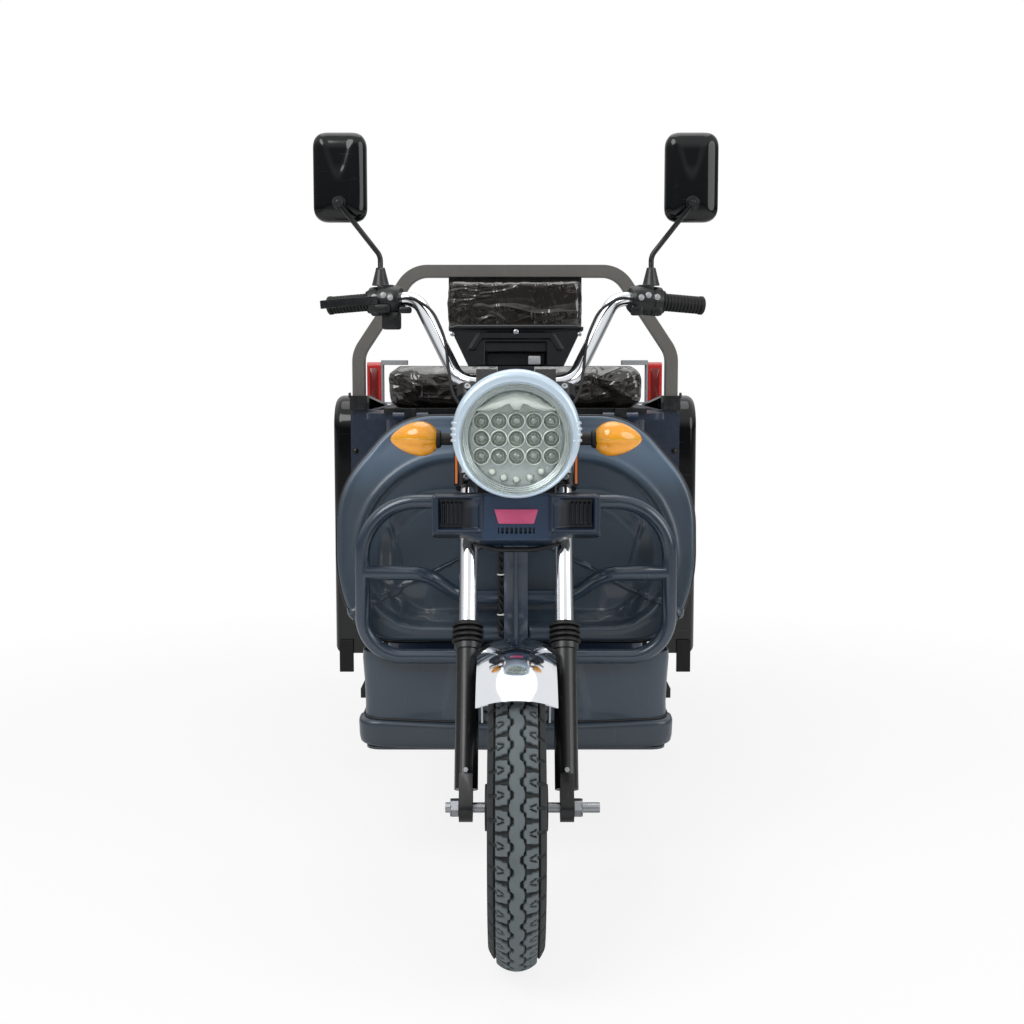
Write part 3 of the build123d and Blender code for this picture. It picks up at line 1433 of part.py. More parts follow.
spring_eye_height = rail_high - rail_height / 2 - spring_eye_radius - fit_gap
spring_seat = axle_height + axle_tube_radius + spring_thickness / 2 + fit_gap
plate_foot = spring_seat + spring_thickness / 2
plate_top = plate_foot + spring_plate_thickness
bolt_outer = axle_tube_radius + fit_gap + spring_bolt
with BuildPart() as leaf_springs:
    for side in left_and_right:
        with BuildSketch(Plane.YZ.offset(side * rail_x - spring_width / 2)) as spring:
            with BuildLine() as spring_line:
                ThreePointArc(
                    (behind(wheelbase - spring_half_length), spring_eye_height),
                    (rear_axle_y, spring_seat),
                    (behind(wheelbase + spring_half_length), spring_eye_height),
                )
                offset(amount=spring_thickness / 2, side=Side.BOTH)
            make_face()
            for end in left_and_right:
                with Locations((behind(wheelbase + end * spring_half_length), spring_eye_height)):
                    Circle(spring_eye_radius)
        extrude(amount=spring_width)
        for edge in left_and_right:
            bolt_x = side * rail_x + edge * (spring_width + spring_bolt) / 2
            with BuildSketch(Plane.YZ.offset(bolt_x - spring_bolt / 2)):
                with Locations((rear_axle_y, axle_height)):
                    Circle(bolt_outer)
                with Locations((rear_axle_y, (axle_height + plate_top) / 2)):
                    Rectangle(2 * bolt_outer, plate_top - axle_height)
                with Locations((rear_axle_y, axle_height)):
                    Circle(axle_tube_radius + fit_gap, mode=Mode.SUBTRACT)
                with Locations((rear_axle_y, (axle_height + plate_foot) / 2)):
                    Rectangle(2 * (axle_tube_radius + fit_gap), plate_foot - axle_height, mode=Mode.SUBTRACT)
            extrude(amount=spring_bolt)
        with BuildSketch(Plane.XY.offset(plate_foot)):
            with Locations((side * rail_x, rear_axle_y)):
                Rectangle(spring_width + 2 * spring_bolt, 2 * spring_plate_half)
        extrude(amount=spring_plate_thickness)
finish(leaf_springs.part, "leaf_springs")

# Rear beam with a towing tongue and the holder of a blank plate
beam_station = wheelbase + rear_overhang - tow_reach - beam_depth
with BuildPart() as rear_beam:
    with BuildSketch(Plane.XY.offset(beam_level - beam_height / 2)):
        with Locations((0, behind(beam_station + beam_depth / 2))):
            Rectangle(2 * beam_half, beam_depth)
    extrude(amount=beam_height)
    with BuildSketch(Plane.XY.offset(beam_level - tow_thickness / 2)):
        with Locations((0, behind(beam_station + beam_depth))):
            Rectangle(tow_width, 2 * tow_reach)
        with Locations((0, behind(beam_station + beam_depth + tow_reach / 2))):
            Circle(tow_hole / 2, mode=Mode.SUBTRACT)
    extrude(amount=tow_thickness)
finish(rear_beam.part, "rear_beam")
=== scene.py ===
"""Looks of the electric cargo tricycle, built around its packed CAD frame.

Shapes are worked out in millimetres as (across, behind the front axle, above the ground); `placed` turns them into
the metres of the shared frame.
"""
import json
from math import cos, pi, radians, sin

import bmesh
import bpy
import numpy as np
from bpy.props import FloatProperty, FloatVectorProperty, IntProperty, PointerProperty
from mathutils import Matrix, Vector


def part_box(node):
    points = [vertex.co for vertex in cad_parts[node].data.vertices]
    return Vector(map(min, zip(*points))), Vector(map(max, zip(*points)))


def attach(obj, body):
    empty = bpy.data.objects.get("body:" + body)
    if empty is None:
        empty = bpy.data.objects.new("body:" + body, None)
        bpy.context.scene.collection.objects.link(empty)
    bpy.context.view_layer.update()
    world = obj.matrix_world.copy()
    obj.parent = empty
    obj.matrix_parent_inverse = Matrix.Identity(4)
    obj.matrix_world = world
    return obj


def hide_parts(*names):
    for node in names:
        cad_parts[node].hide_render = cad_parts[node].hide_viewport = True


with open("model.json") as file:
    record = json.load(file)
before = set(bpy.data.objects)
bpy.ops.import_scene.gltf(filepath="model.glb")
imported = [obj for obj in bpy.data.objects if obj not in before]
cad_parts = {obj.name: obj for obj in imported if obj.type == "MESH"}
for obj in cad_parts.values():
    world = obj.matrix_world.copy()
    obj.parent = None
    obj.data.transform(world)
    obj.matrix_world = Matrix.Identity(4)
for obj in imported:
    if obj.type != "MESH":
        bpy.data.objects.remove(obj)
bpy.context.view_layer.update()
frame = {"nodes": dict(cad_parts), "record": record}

bl_info = {
    "name": "Electric Cargo Tricycle",
    "version": (1, 0, 0),
    "blender": (4, 5, 0),
    "location": "3D View > Sidebar > Tricycle",
    "description": "Dresses the packed frame of an electric cargo tricycle",
    "category": "Object",
}

NODES = frame["nodes"]
RECORD = frame["record"]
BODY_OF = {node: body for body, members in RECORD["behaviour"]["bodies"].items() for node in members}
FRONT_AXLE = sum(corner.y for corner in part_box("tyre_front")) / 2
TYRE_RADIUS = AXLE_HEIGHT = 228.5
WHEELBASE = 1450.0
RAKE = radians(25.0)
SIDES = (-1, 1)
FORWARDS, BACKWARDS = (0, -1, 0), (0, 1, 0)
CAMERA_ACROSS = -0.0065


# Numbers and arrays


def screen(code, alpha=1.0):
    """Linear colour of a screen colour code."""
    values = [int(code[i : i + 2], 16) / 255 for i in (1, 3, 5)]
    return (*[v / 12.92 if v <= 0.04045 else ((v + 0.055) / 1.055) ** 2.4 for v in values], alpha)


def points(*axes):
    """One array of points from three arrays or numbers that broadcast together."""
    return np.stack(np.broadcast_arrays(*[np.asarray(a, float) for a in axes]), axis=-1)


def placed(local):
    """Metres in the shared frame: x / 1000, front axle + distance behind it / 1000, z / 1000."""
    local = np.asarray(local, float).reshape(-1, 3)
    return local / 1000.0 + np.array([0.0, FRONT_AXLE, 0.0])


def on_fork(x, back, along):
    """A point across, square behind the fork legs, and up along them from the front axle."""
    return points(x, along * sin(RAKE) + back * cos(RAKE), AXLE_HEIGHT + along * cos(RAKE) - back * sin(RAKE))


def ease(value, low, high):
    """0 below low, 1 above high, and 3t^2 - 2t^3 between."""
    t = np.clip((value - low) / (high - low), 0.0, 1.0)
    return t * t * (3.0 - 2.0 * t)


def ripples(where, size, seed, count=14):
    """Smooth noise of about -1 to 1: the mean of sines along seeded random directions, wavelength near size."""
    rng = np.random.default_rng(seed)
    waves = rng.normal(size=(count, 3))
    waves *= (rng.uniform(0.7, 1.5, count) / np.linalg.norm(waves, axis=1))[:, None] * 2 * pi / size
    phase = rng.uniform(0, 2 * pi, count)
    return np.sin(where @ waves.T + phase).sum(-1) / count ** 0.5


def creases(where, size, seed, count=26):
    """Sharp folds of 0 to 1: the highest of ridges exp(-|distance from a bent line| / width) at seeded places."""
    rng = np.random.default_rng(seed)
    low, high = where.min(0), where.max(0)
    total = np.zeros(len(where))
    bent = where + 0.35 * size * points(*[ripples(where, size * 2.2, seed + k, 8) for k in (1, 2, 3)])
    for start in rng.uniform(low, high, (count, 3)):
        direction = rng.normal(size=3)
        direction /= np.linalg.norm(direction)
        reach = rng.uniform(0.8, 2.4) * size
        offset = bent - start
        away = np.abs(offset @ direction)
        along = np.linalg.norm(offset - np.outer(offset @ direction, direction), axis=1)
        total = np.maximum(total, np.exp(-away / (0.055 * size)) * (1 - ease(along, 0.4 * reach, reach)))
    return total


def outline_of(corners, rounding, steps=8):
    """Closed outline: each corner is cut at its rounding and bridged by a parabola through the cut points."""
    corners = np.asarray(corners, float)
    rounding = np.broadcast_to(np.asarray(rounding, float), len(corners))[:, None]
    to_last = np.roll(corners, 1, 0) - corners
    to_next = np.roll(corners, -1, 0) - corners
    start = corners + to_last / np.linalg.norm(to_last, axis=1, keepdims=True) * rounding
    end = corners + to_next / np.linalg.norm(to_next, axis=1, keepdims=True) * rounding
    t = np.linspace(0, 1, steps)[None, :, None]
    curve = (1 - t) ** 2 * start[:, None] + 2 * t * (1 - t) * corners[:, None] + t**2 * end[:, None]
    return curve.reshape(-1, corners.shape[1])


def route_of(corners, rounding, steps=8):
    """Open route: straight runs whose inner corners are bridged by parabolas."""
    corners = np.asarray(corners, float)
    inner = outline_of(corners, rounding, steps).reshape(len(corners), steps, -1)[1:-1]
    return np.concatenate([corners[:1], inner.reshape(-1, corners.shape[1]), corners[-1:]])


def even(route, count, closed=False):
    """The same route with its points an equal length apart."""
    route = np.asarray(route, float)
    if closed:
        route = np.concatenate([route, route[:1]])
    reach = np.concatenate([[0.0], np.cumsum(np.linalg.norm(np.diff(route, axis=0), axis=1))])
    at = np.linspace(0, reach[-1], count, endpoint=not closed)
    return np.stack([np.interp(at, reach, route[:, k]) for k in range(route.shape[1])], axis=-1)


def rectangle(half_width, half_height):
    """Corners of a rectangle about the origin."""
    return [(x * half_width, z * half_height) for x, z in ((-1, -1), (1, -1), (1, 1), (-1, 1))]


def within_box(x, z, low_x, high_x, low_z, high_z):
    """Distance inside an upright rectangle, negative outside."""
    return np.minimum(np.minimum(x - low_x, high_x - x), np.minimum(z - low_z, high_z - z))


def mirrored(half):
    """A right half of an outline, bottom to top, closed by its mirror image."""
    return [*half, *[(-x, z) for x, z in reversed(half)]]


def inside(outline, x, z):
    """Distance inside a closed outline, negative outside: least distance to its runs, signed by winding."""
    a = np.asarray(outline, float)
    b = np.roll(a, -1, 0)
    p = np.stack([np.ravel(x), np.ravel(z)], -1)
    least, odd = np.full(len(p), 1e9), np.zeros(len(p), bool)
    for start, end in zip(a, b):
        run = end - start
        t = np.clip(((p - start) @ run) / max(run @ run, 1e-9), 0, 1)
        least = np.minimum(least, np.linalg.norm(p - start - t[:, None] * run, axis=1))
        crosses = (start[1] > p[:, 1]) != (end[1] > p[:, 1])
        side = start[0] + (p[:, 1] - start[1]) * (end[0] - start[0]) / (end[1] - start[1] + 1e-12)
        odd ^= crosses & (p[:, 0] < side)
    return np.where(odd, least, -least).reshape(np.shape(x))


# Surfaces: each gives (points, list of face arrays)


def grid(rows, wrap_rows=False, wrap_columns=False):
    """A surface through an array (rows, columns, 3); either way may close on itself."""
    count, across = rows.shape[:2]
    i = np.arange(count if wrap_rows else count - 1)[:, None]
    j = np.arange(across if wrap_columns else across - 1)[None, :]
    i2, j2 = (i + 1) % count, (j + 1) % across
    quads = np.stack(
        np.broadcast_arrays(i * across + j, i * across + j2, i2 * across + j2, i2 * across + j), -1,
    )
    return rows.reshape(-1, 3), [quads.reshape(-1, 4)]


def capped(rows):
    """Rings joined into a closed solid: each end ring is closed by triangles to its middle point."""
    body, faces = grid(rows, wrap_columns=True)
    count, across = rows.shape[:2]
    poles = np.stack([rows[0].mean(0), rows[-1].mean(0)])
    j = np.arange(across)
    k = (j + 1) % across
    first = np.stack([k, j, np.full(across, count * across)], -1)
    last = np.stack(
        [(count - 1) * across + j, (count - 1) * across + k, np.full(across, count * across + 1)], -1,
    )
    return np.concatenate([body, poles]), [*faces, first, last]


def joined(*surfaces):
    """Several surfaces as one mesh."""
    shift, where, faces = 0, [], []
    for local, found in surfaces:
        where.append(local)
        faces += [f + shift for f in found]
        shift += len(local)
    return np.concatenate(where), faces


def frames(route, up=(0.0, 0.0, 1.0), closed=False):
    """Tangent, side and rise at each point of a route: side = tangent x up, rise = side x tangent."""
    ahead = np.roll(route, -1, 0) - np.roll(route, 1, 0)
    if not closed:
        ahead[0], ahead[-1] = route[1] - route[0], route[-1] - route[-2]
    tangent = ahead / np.linalg.norm(ahead, axis=1, keepdims=True)
    side = np.cross(tangent, np.asarray(up, float))
    side /= np.linalg.norm(side, axis=1, keepdims=True)
    return tangent, side, np.cross(side, tangent)


def swept(route, section, up=(0.0, 0.0, 1.0), closed=False):
    """A section (sideways, upwards) carried along a route: route + a side + b rise. Sections may differ per point."""
    section = np.broadcast_to(np.asarray(section, float), (len(route), *np.shape(section)[-2:]))
    _, side, rise = frames(route, up, closed)
    rows = route[:, None] + section[..., :1] * side[:, None] + section[..., 1:] * rise[:, None]
    return grid(rows, closed, True) if closed else capped(rows)


def circle(radius, sides=16):
    """Points of a circle, or of one circle per radius."""
    turn = np.arange(sides) * 2 * pi / sides
    ring = np.stack([np.cos(turn), np.sin(turn)], -1)
    return np.multiply.outer(np.asarray(radius, float), ring)


def tube(route, radius, sides=16, up=(0.0, 0.0, 1.0), closed=False):
    """A round tube along a route; the radius may change along it."""
    return swept(route, circle(radius, sides), up, closed)


def turned(start, direction, profile, sides=32):
    """A solid turned about a line: rings at start + along * direction with the profile's (along, radius)."""
    direction = np.asarray(direction, float) / np.linalg.norm(direction)
    across = np.cross(direction, (0.0, 0.0, 1.0) if abs(direction[2]) < 0.9 else (1.0, 0.0, 0.0))
    across /= np.linalg.norm(across)
    rise = np.cross(across, direction)
    along, radius = np.asarray(profile, float).T
    ring = circle(radius, sides)
    rows = np.asarray(start, float) + along[:, None, None] * direction + ring[..., :1] * across + ring[..., 1:] * rise
    return capped(rows)


def slab(outline, near, far, rounding=1.5):
    """A plate facing the front: an outline (x, z) between two distances behind the axle, its rims rounded."""
    outline = np.asarray(outline, float)
    middle = outline.mean(0)
    spread = np.linalg.norm(outline - middle, axis=1).max()
    shrink = 1 - rounding / spread
    bend, little = 0.3 * rounding, 1 - 0.3 * rounding / spread
    rows = [(near, shrink), (near + bend, little), (near + rounding, 1.0)]
    rows += [(far - rounding, 1.0), (far - bend, little), (far, shrink)]
    rings = [(at, middle + share * (outline - middle)) for at, share in rows]
    return capped(np.stack([points(ring[:, 0], at, ring[:, 1]) for at, ring in rings]))


def boxed(low, high, rounding=1.5):
    """A block between two corners with rounded upright edges and rims."""
    (x0, s0, z0), (x1, s1, z1) = low, high
    outline = outline_of([(x0, z0), (x1, z0), (x1, z1), (x0, z1)], rounding * 1.6, 4)
    return slab(outline, s0, s1, rounding)


def backed(face, back):
    """A closed piece: a grid of points facing the front, a straight edge behind its rim and one flat rear face."""
    rim = np.concatenate([face[:, 0], face[-1, 1:], face[::-1, -1][1:], face[0, ::-1][1:-1]])
    behind_it = points(rim[:, 0], back + 0 * rim[:, 0], rim[:, 2])
    rear = (behind_it[::-1], [np.arange(len(rim))[None, :]])
    return joined(grid(face), grid(np.stack([rim, behind_it]), wrap_columns=True), rear)


def relief(xs, low, high, rows, front, back, rounding):
    """A closed panel: a grid across and between a low and a high edge whose front is front(x, z), falling back at
    the rim by rounding - sqrt(rounding^2 - (rounding - d)^2), d being the distance to the rim; its rear is flat."""
    t = np.linspace(0, 1, rows)
    t = 0.5 - 0.5 * np.cos(pi * t) if rounding else t
    z = low[:, None] + (high - low)[:, None] * t
    x = np.broadcast_to(xs[:, None], z.shape)
    rim = np.minimum(np.minimum(z - low[:, None], high[:, None] - z), np.minimum(x - xs[0], xs[-1] - x))
    d = np.clip(rim, 0, rounding)
    fall = rounding - np.sqrt(np.maximum(rounding**2 - (rounding - d) ** 2, 0))
    return backed(points(x, front(x, z) + fall, z), back)


def plate_of(x, z, front, back):
    """A thin closed plate facing the front over a grid of x and z, between two distances behind the axle."""
    return backed(points(x, front + 0 * x, z), back)


# Meshes and materials


def object_of(name, body, slot, surface, crease=40.0, replaces=(), finish=None, hint=None, wall=0.0):
    """A finished piece: merged, turned outwards, smoothed below the crease angle, riding on its body. Its finish is
    its slot's, unless another is named. An open surface faces the way of its hint and gets a wall in millimetres."""
    local, faces = surface
    mesh = bpy.data.meshes.new(name)
    mesh.from_pydata(placed(local).tolist(), [], [f for block in faces for f in block.tolist()])
    work = bmesh.new()
    work.from_mesh(mesh)
    bmesh.ops.remove_doubles(work, verts=work.verts, dist=2e-6)
    bmesh.ops.dissolve_degenerate(work, edges=work.edges, dist=1e-6)
    bmesh.ops.recalc_face_normals(work, faces=work.faces)
    if hint is not None:
        work.normal_update()
        if sum(f.normal.dot(hint) * f.calc_area() for f in work.faces) < 0:
            bmesh.ops.reverse_faces(work, faces=work.faces)
    work.to_mesh(mesh)
    work.free()
    return dressed(bpy.data.objects.new(name, mesh), body, finish or slot, crease, replaces, wall=wall)


def corner_array(piece):
    """Vertex places of a piece as one array."""
    where = np.zeros(len(piece.data.vertices) * 3)
    piece.data.vertices.foreach_get("co", where)
    return where.reshape(-1, 3)


def local_corners(piece, origin=(0, 0, 0)):
    """Vertex places in millimetres from an origin, as three arrays: across, behind and above."""
    return ((corner_array(piece) - placed(origin)) * 1000).T


def shaded(piece, shares):
    """Stores how dark each vertex is, 0 for bare colour and 1 for the bottom of a groove or recess."""
    layer = piece.data.attributes.new("shade", "FLOAT", "POINT")
    layer.data.foreach_set("value", np.asarray(shares, float).ravel())


def dressed(piece, body, finish, crease, replaces=(), wall=0.0, bevel=0.0):
    """Links a piece, gives it its finish, rounded edges or wall, and what it rides on and stands for."""
    bpy.context.scene.collection.objects.link(piece)
    piece.data.materials.clear()
    piece.data.materials.append(FINISHES[finish])
    piece.data.shade_smooth()
    piece.data.set_sharp_from_angle(angle=radians(crease))
    if wall:
        modifier = piece.modifiers.new("Wall", "SOLIDIFY")
        modifier.thickness, modifier.offset = wall / 1000, -1.0
    if bevel:
        modifier = piece.modifiers.new("Rounded edges", "BEVEL")
        modifier.width, modifier.segments, modifier.harden_normals = bevel / 1000, 2, True
        modifier.limit_method, modifier.angle_limit = "ANGLE", radians(crease)
    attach(piece, body)
    if replaces:
        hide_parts(*replaces)
    return piece


def dress_node(node, finish, bevel):
    """A CAD node's own shape, merged from its loose triangles, with rounded edges and smooth curved faces."""
    mesh = NODES[node].data.copy()
    work = bmesh.new()
    work.from_mesh(mesh)
    bmesh.ops.remove_doubles(work, verts=work.verts, dist=1e-6)
    bmesh.ops.dissolve_limit(work, angle_limit=radians(0.4), verts=work.verts, edges=work.edges)
    work.to_mesh(mesh)
    work.free()
    look = bpy.data.objects.new(f"{node}.look", mesh)
    return dressed(look, BODY_OF[node], finish, 32.0, (node,), bevel=bevel)


def put(tree, kind, settings=None, **inputs):
    """A node with its settings and its inputs, which are links or constants."""
    made = tree.nodes.new(kind)
    for key, value in (settings or {}).items():
        setattr(made, key, value)
    for key, value in inputs.items():
        socket = made.inputs[int(key[1:])] if key[0] == "_" else made.inputs[key.replace("_", " ")]
        if isinstance(value, bpy.types.NodeSocket):
            tree.links.new(value, socket)
        else:
            socket.default_value = value
    return made


def maths(tree, operation, *values):
    """The result of one Math node."""
    return put(
        tree, "ShaderNodeMath", {"operation": operation}, **{f"_{i}": v for i, v in enumerate(values)}
    ).outputs[0]


def node_of_type(tree, kind):
    """The first node of a kind in a tree."""
    return next(n for n in tree.nodes if n.type == kind)


def blend_colours(tree, share, first, second):
    """A colour between two."""
    return put(tree, "ShaderNodeMix", {"data_type": "RGBA"}, _0=share, _6=first, _7=second).outputs[2]


def effect(name, inputs, outputs):
    """An empty node group with named inputs (name, kind, default) and outputs (name, kind)."""
    group = bpy.data.node_groups.new(name, "ShaderNodeTree")
    for label, kind, default in inputs:
        group.interface.new_socket(label, in_out="INPUT", socket_type=kind).default_value = default
    for label, kind in outputs:
        group.interface.new_socket(label, in_out="OUTPUT", socket_type=kind)
    return group, group.nodes.new("NodeGroupInput").outputs, group.nodes.new("NodeGroupOutput").inputs


def noise(tree, size, detail=3.0, stretch=(1.0, 1.0, 1.0), rough=0.55):
    """Noise on Object coordinates with features of about a size in metres."""
    where = put(tree, "ShaderNodeTexCoord").outputs["Object"]
    if stretch != (1.0, 1.0, 1.0):
        where = put(tree, "ShaderNodeMapping", Vector=where, Scale=stretch).outputs[0]
    scale = 1.0 / size if isinstance(size, float) else maths(tree, "DIVIDE", 1.0, size)
    return put(
        tree, "ShaderNodeTexNoise", Vector=where, Scale=scale, Detail=detail, Roughness=rough,
    ).outputs["Fac"]


def make_effects():
    """Colour drift, edge wear, settled dust, uneven gloss, moulded grain, film folds and fine scratches."""
    made = {}
    colour, value = "NodeSocketColor", "NodeSocketFloat"
    inputs = [("Colour", colour, (0.5,) * 3 + (1,)), ("Amount", value, 0.1), ("Size", value, 0.2)]
    g, i, o = effect("Colour drift", inputs, [("Colour", colour)])
    uneven = maths(g, "SUBTRACT", noise(g, i["Size"]), 0.5)
    drift = maths(g, "MULTIPLY_ADD", uneven, maths(g, "MULTIPLY", i["Amount"], 2.0), 1.0)
    g.links.new(put(g, "ShaderNodeHueSaturation", Color=i["Colour"], Value=drift).outputs[0], o["Colour"])
    made["drift"] = g
    g, i, o = effect("Edge wear", [("Amount", value, 0.3)], [("Mask", value)])
    edge = put(g, "ShaderNodeNewGeometry").outputs["Pointiness"]
    edge = put(g, "ShaderNodeMapRange", _0=edge, _1=0.52, _2=0.6).outputs[0]
    broken = put(g, "ShaderNodeMapRange", _0=noise(g, 0.012, 5.0), _1=0.42, _2=0.62).outputs[0]
    g.links.new(maths(g, "MULTIPLY", maths(g, "MULTIPLY", edge, broken), i["Amount"]), o["Mask"])
    made["wear"] = g
    g, i, o = effect("Settled dust", [("Amount", value, 0.3)], [("Mask", value)])
    up = put(
        g, "ShaderNodeSeparateXYZ", Vector=put(g, "ShaderNodeNewGeometry").outputs["Normal"],
    ).outputs["Z"]
    lying = put(g, "ShaderNodeMapRange", _0=up, _1=-0.2, _2=1.0).outputs[0]
    patchy = put(g, "ShaderNodeMapRange", _0=noise(g, 0.06, 6.0, rough=0.65), _1=0.35, _2=0.75).outputs[0]
    g.links.new(maths(g, "MULTIPLY", maths(g, "MULTIPLY", lying, patchy), i["Amount"]), o["Mask"])
    made["dust"] = g
    inputs = [("Base", value, 0.4), ("Spread", value, 0.1), ("Size", value, 0.05)]
    g, i, o = effect("Uneven gloss", inputs, [("Roughness", value)])
    uneven = maths(
        g, "MULTIPLY_ADD", maths(g, "SUBTRACT", noise(g, i["Size"], 5.0), 0.5), i["Spread"], i["Base"],
    )
    g.links.new(maths(g, "MAXIMUM", uneven, 0.02), o["Roughness"])
    made["gloss"] = g
    g, i, o = effect("Moulded grain", [("Size", value, 0.001), ("Depth", value, 1.0)], [("Height", value)])
    g.links.new(maths(g, "MULTIPLY", noise(g, i["Size"], 2.0), i["Depth"]), o["Height"])
    made["grain"] = g
    g, i, o = effect("Film folds", [("Size", value, 0.05)], [("Height", value)])
    folds = []
    for stretch, part in (((1.0, 0.35, 2.2), 1.0), ((0.3, 1.0, 1.6), 0.6), ((1.4, 1.0, 0.5), 0.45)):
        where = put(g, "ShaderNodeTexCoord").outputs["Object"]
        where = put(g, "ShaderNodeMapping", Vector=where, Scale=stretch).outputs[0]
        scale = maths(g, "DIVIDE", 1.0, maths(g, "MULTIPLY", i["Size"], part))
        soft = put(
            g, "ShaderNodeTexNoise", Vector=where, Scale=scale, Detail=2.0, Roughness=0.5, Distortion=1.6,
        )
        ridge = maths(g, "ABSOLUTE", maths(g, "SUBTRACT", soft.outputs["Fac"], 0.5))
        ridge = put(g, "ShaderNodeMapRange", _0=ridge, _1=0.0, _2=0.09, _3=1.0, _4=0.0).outputs[0]
        folds.append(maths(g, "MULTIPLY", ridge, part))
    g.links.new(maths(g, "ADD", folds[0], maths(g, "ADD", folds[1], folds[2])), o["Height"])
    made["folds"] = g
    g, i, o = effect("Fine scratches", [("Amount", value, 0.2)], [("Mask", value)])
    streaks = [noise(g, 0.004, 2.0, s) for s in ((1.0, 1.0, 0.05), (0.05, 1.0, 1.0))]
    fine = put(g, "ShaderNodeMapRange", _0=maths(g, "MAXIMUM", *streaks), _1=0.66, _2=0.72).outputs[0]
    g.links.new(maths(g, "MULTIPLY", fine, i["Amount"]), o["Mask"])
    made["scratches"] = g
    return made


BARE_METAL, SCRATCHED, DUSTY = "#8c8f93", "#a8abb0", "#8d8577"


def use(tree, group, **inputs):
    """One of the shared effects in a material, with its own values."""
    return put(tree, "ShaderNodeGroup", {"node_tree": group}, **inputs).outputs[0]


def finish(
    effects, name, colour, rough, metal=0.0, coat=0.0, spread=0.12, drift=0.08, drift_size=0.2, grain=(0.0008, 0.05),
    wear=0.0, dust=0.0, scratches=0.0, shade=False, folds=0.0, **shader
):
    """A material: drifting colour with wear, scratches and dust laid over it, uneven gloss and a fine grain, given as
    its size in metres and depth in millimetres. Folds are the height of the film's folds in millimetres."""
    material = bpy.data.materials.new(name)
    material.use_nodes = True
    tree = material.node_tree
    principled = node_of_type(tree, "BSDF_PRINCIPLED")
    tint = screen(colour) if isinstance(colour, str) else (*colour, 1.0)
    base = use(tree, effects["drift"], Colour=tint, Amount=drift, Size=drift_size)
    gloss = use(tree, effects["gloss"], Base=rough, Spread=spread)
    if shade:
        # painted shade and painted light: the piece's shade attribute scales the colour's brightness from 1 at 0 down
        # to 0.12 at 1
        share = put(tree, "ShaderNodeAttribute", {"attribute_name": "shade"}).outputs["Fac"]
        bright = put(tree, "ShaderNodeMapRange", _0=share, _3=1.0, _4=0.12).outputs[0]
        base = put(tree, "ShaderNodeHueSaturation", Color=base, Value=bright).outputs[0]
    if wear:
        base = blend_colours(tree, use(tree, effects["wear"], Amount=wear), base, screen(BARE_METAL))
    if scratches:
        marks = use(tree, effects["scratches"], Amount=scratches)
        base = blend_colours(tree, marks, base, screen(SCRATCHED))
        gloss = maths(tree, "MULTIPLY_ADD", marks, 0.25, gloss)
    if dust:
        lying = use(tree, effects["dust"], Amount=dust)
        base = blend_colours(tree, lying, base, screen(DUSTY))
        gloss = maths(tree, "MULTIPLY_ADD", lying, 0.5, gloss)
    tree.links.new(base, principled.inputs["Base Color"])
    tree.links.new(gloss, principled.inputs["Roughness"])
    principled.inputs["Metallic"].default_value = metal
    principled.inputs["Coat Weight"].default_value = coat
    for key, value in shader.items():
        principled.inputs[key.replace("_", " ")].default_value = value
    if folds:
        height = use(tree, effects["folds"], Size=0.2)
        bump = put(tree, "ShaderNodeBump", Strength=1.0, Distance=folds / 1000, Height=height)
        tree.links.new(bump.outputs[0], principled.inputs["Normal"])
        tree.links.new(bump.outputs[0], principled.inputs["Coat Normal"])
    if grain:
        height = use(tree, effects["grain"], Size=grain[0])
        bump = put(tree, "ShaderNodeBump", Strength=1.0, Distance=grain[1] / 1000, Height=height)
        tree.links.new(bump.outputs[0], principled.inputs["Normal"])
    return material


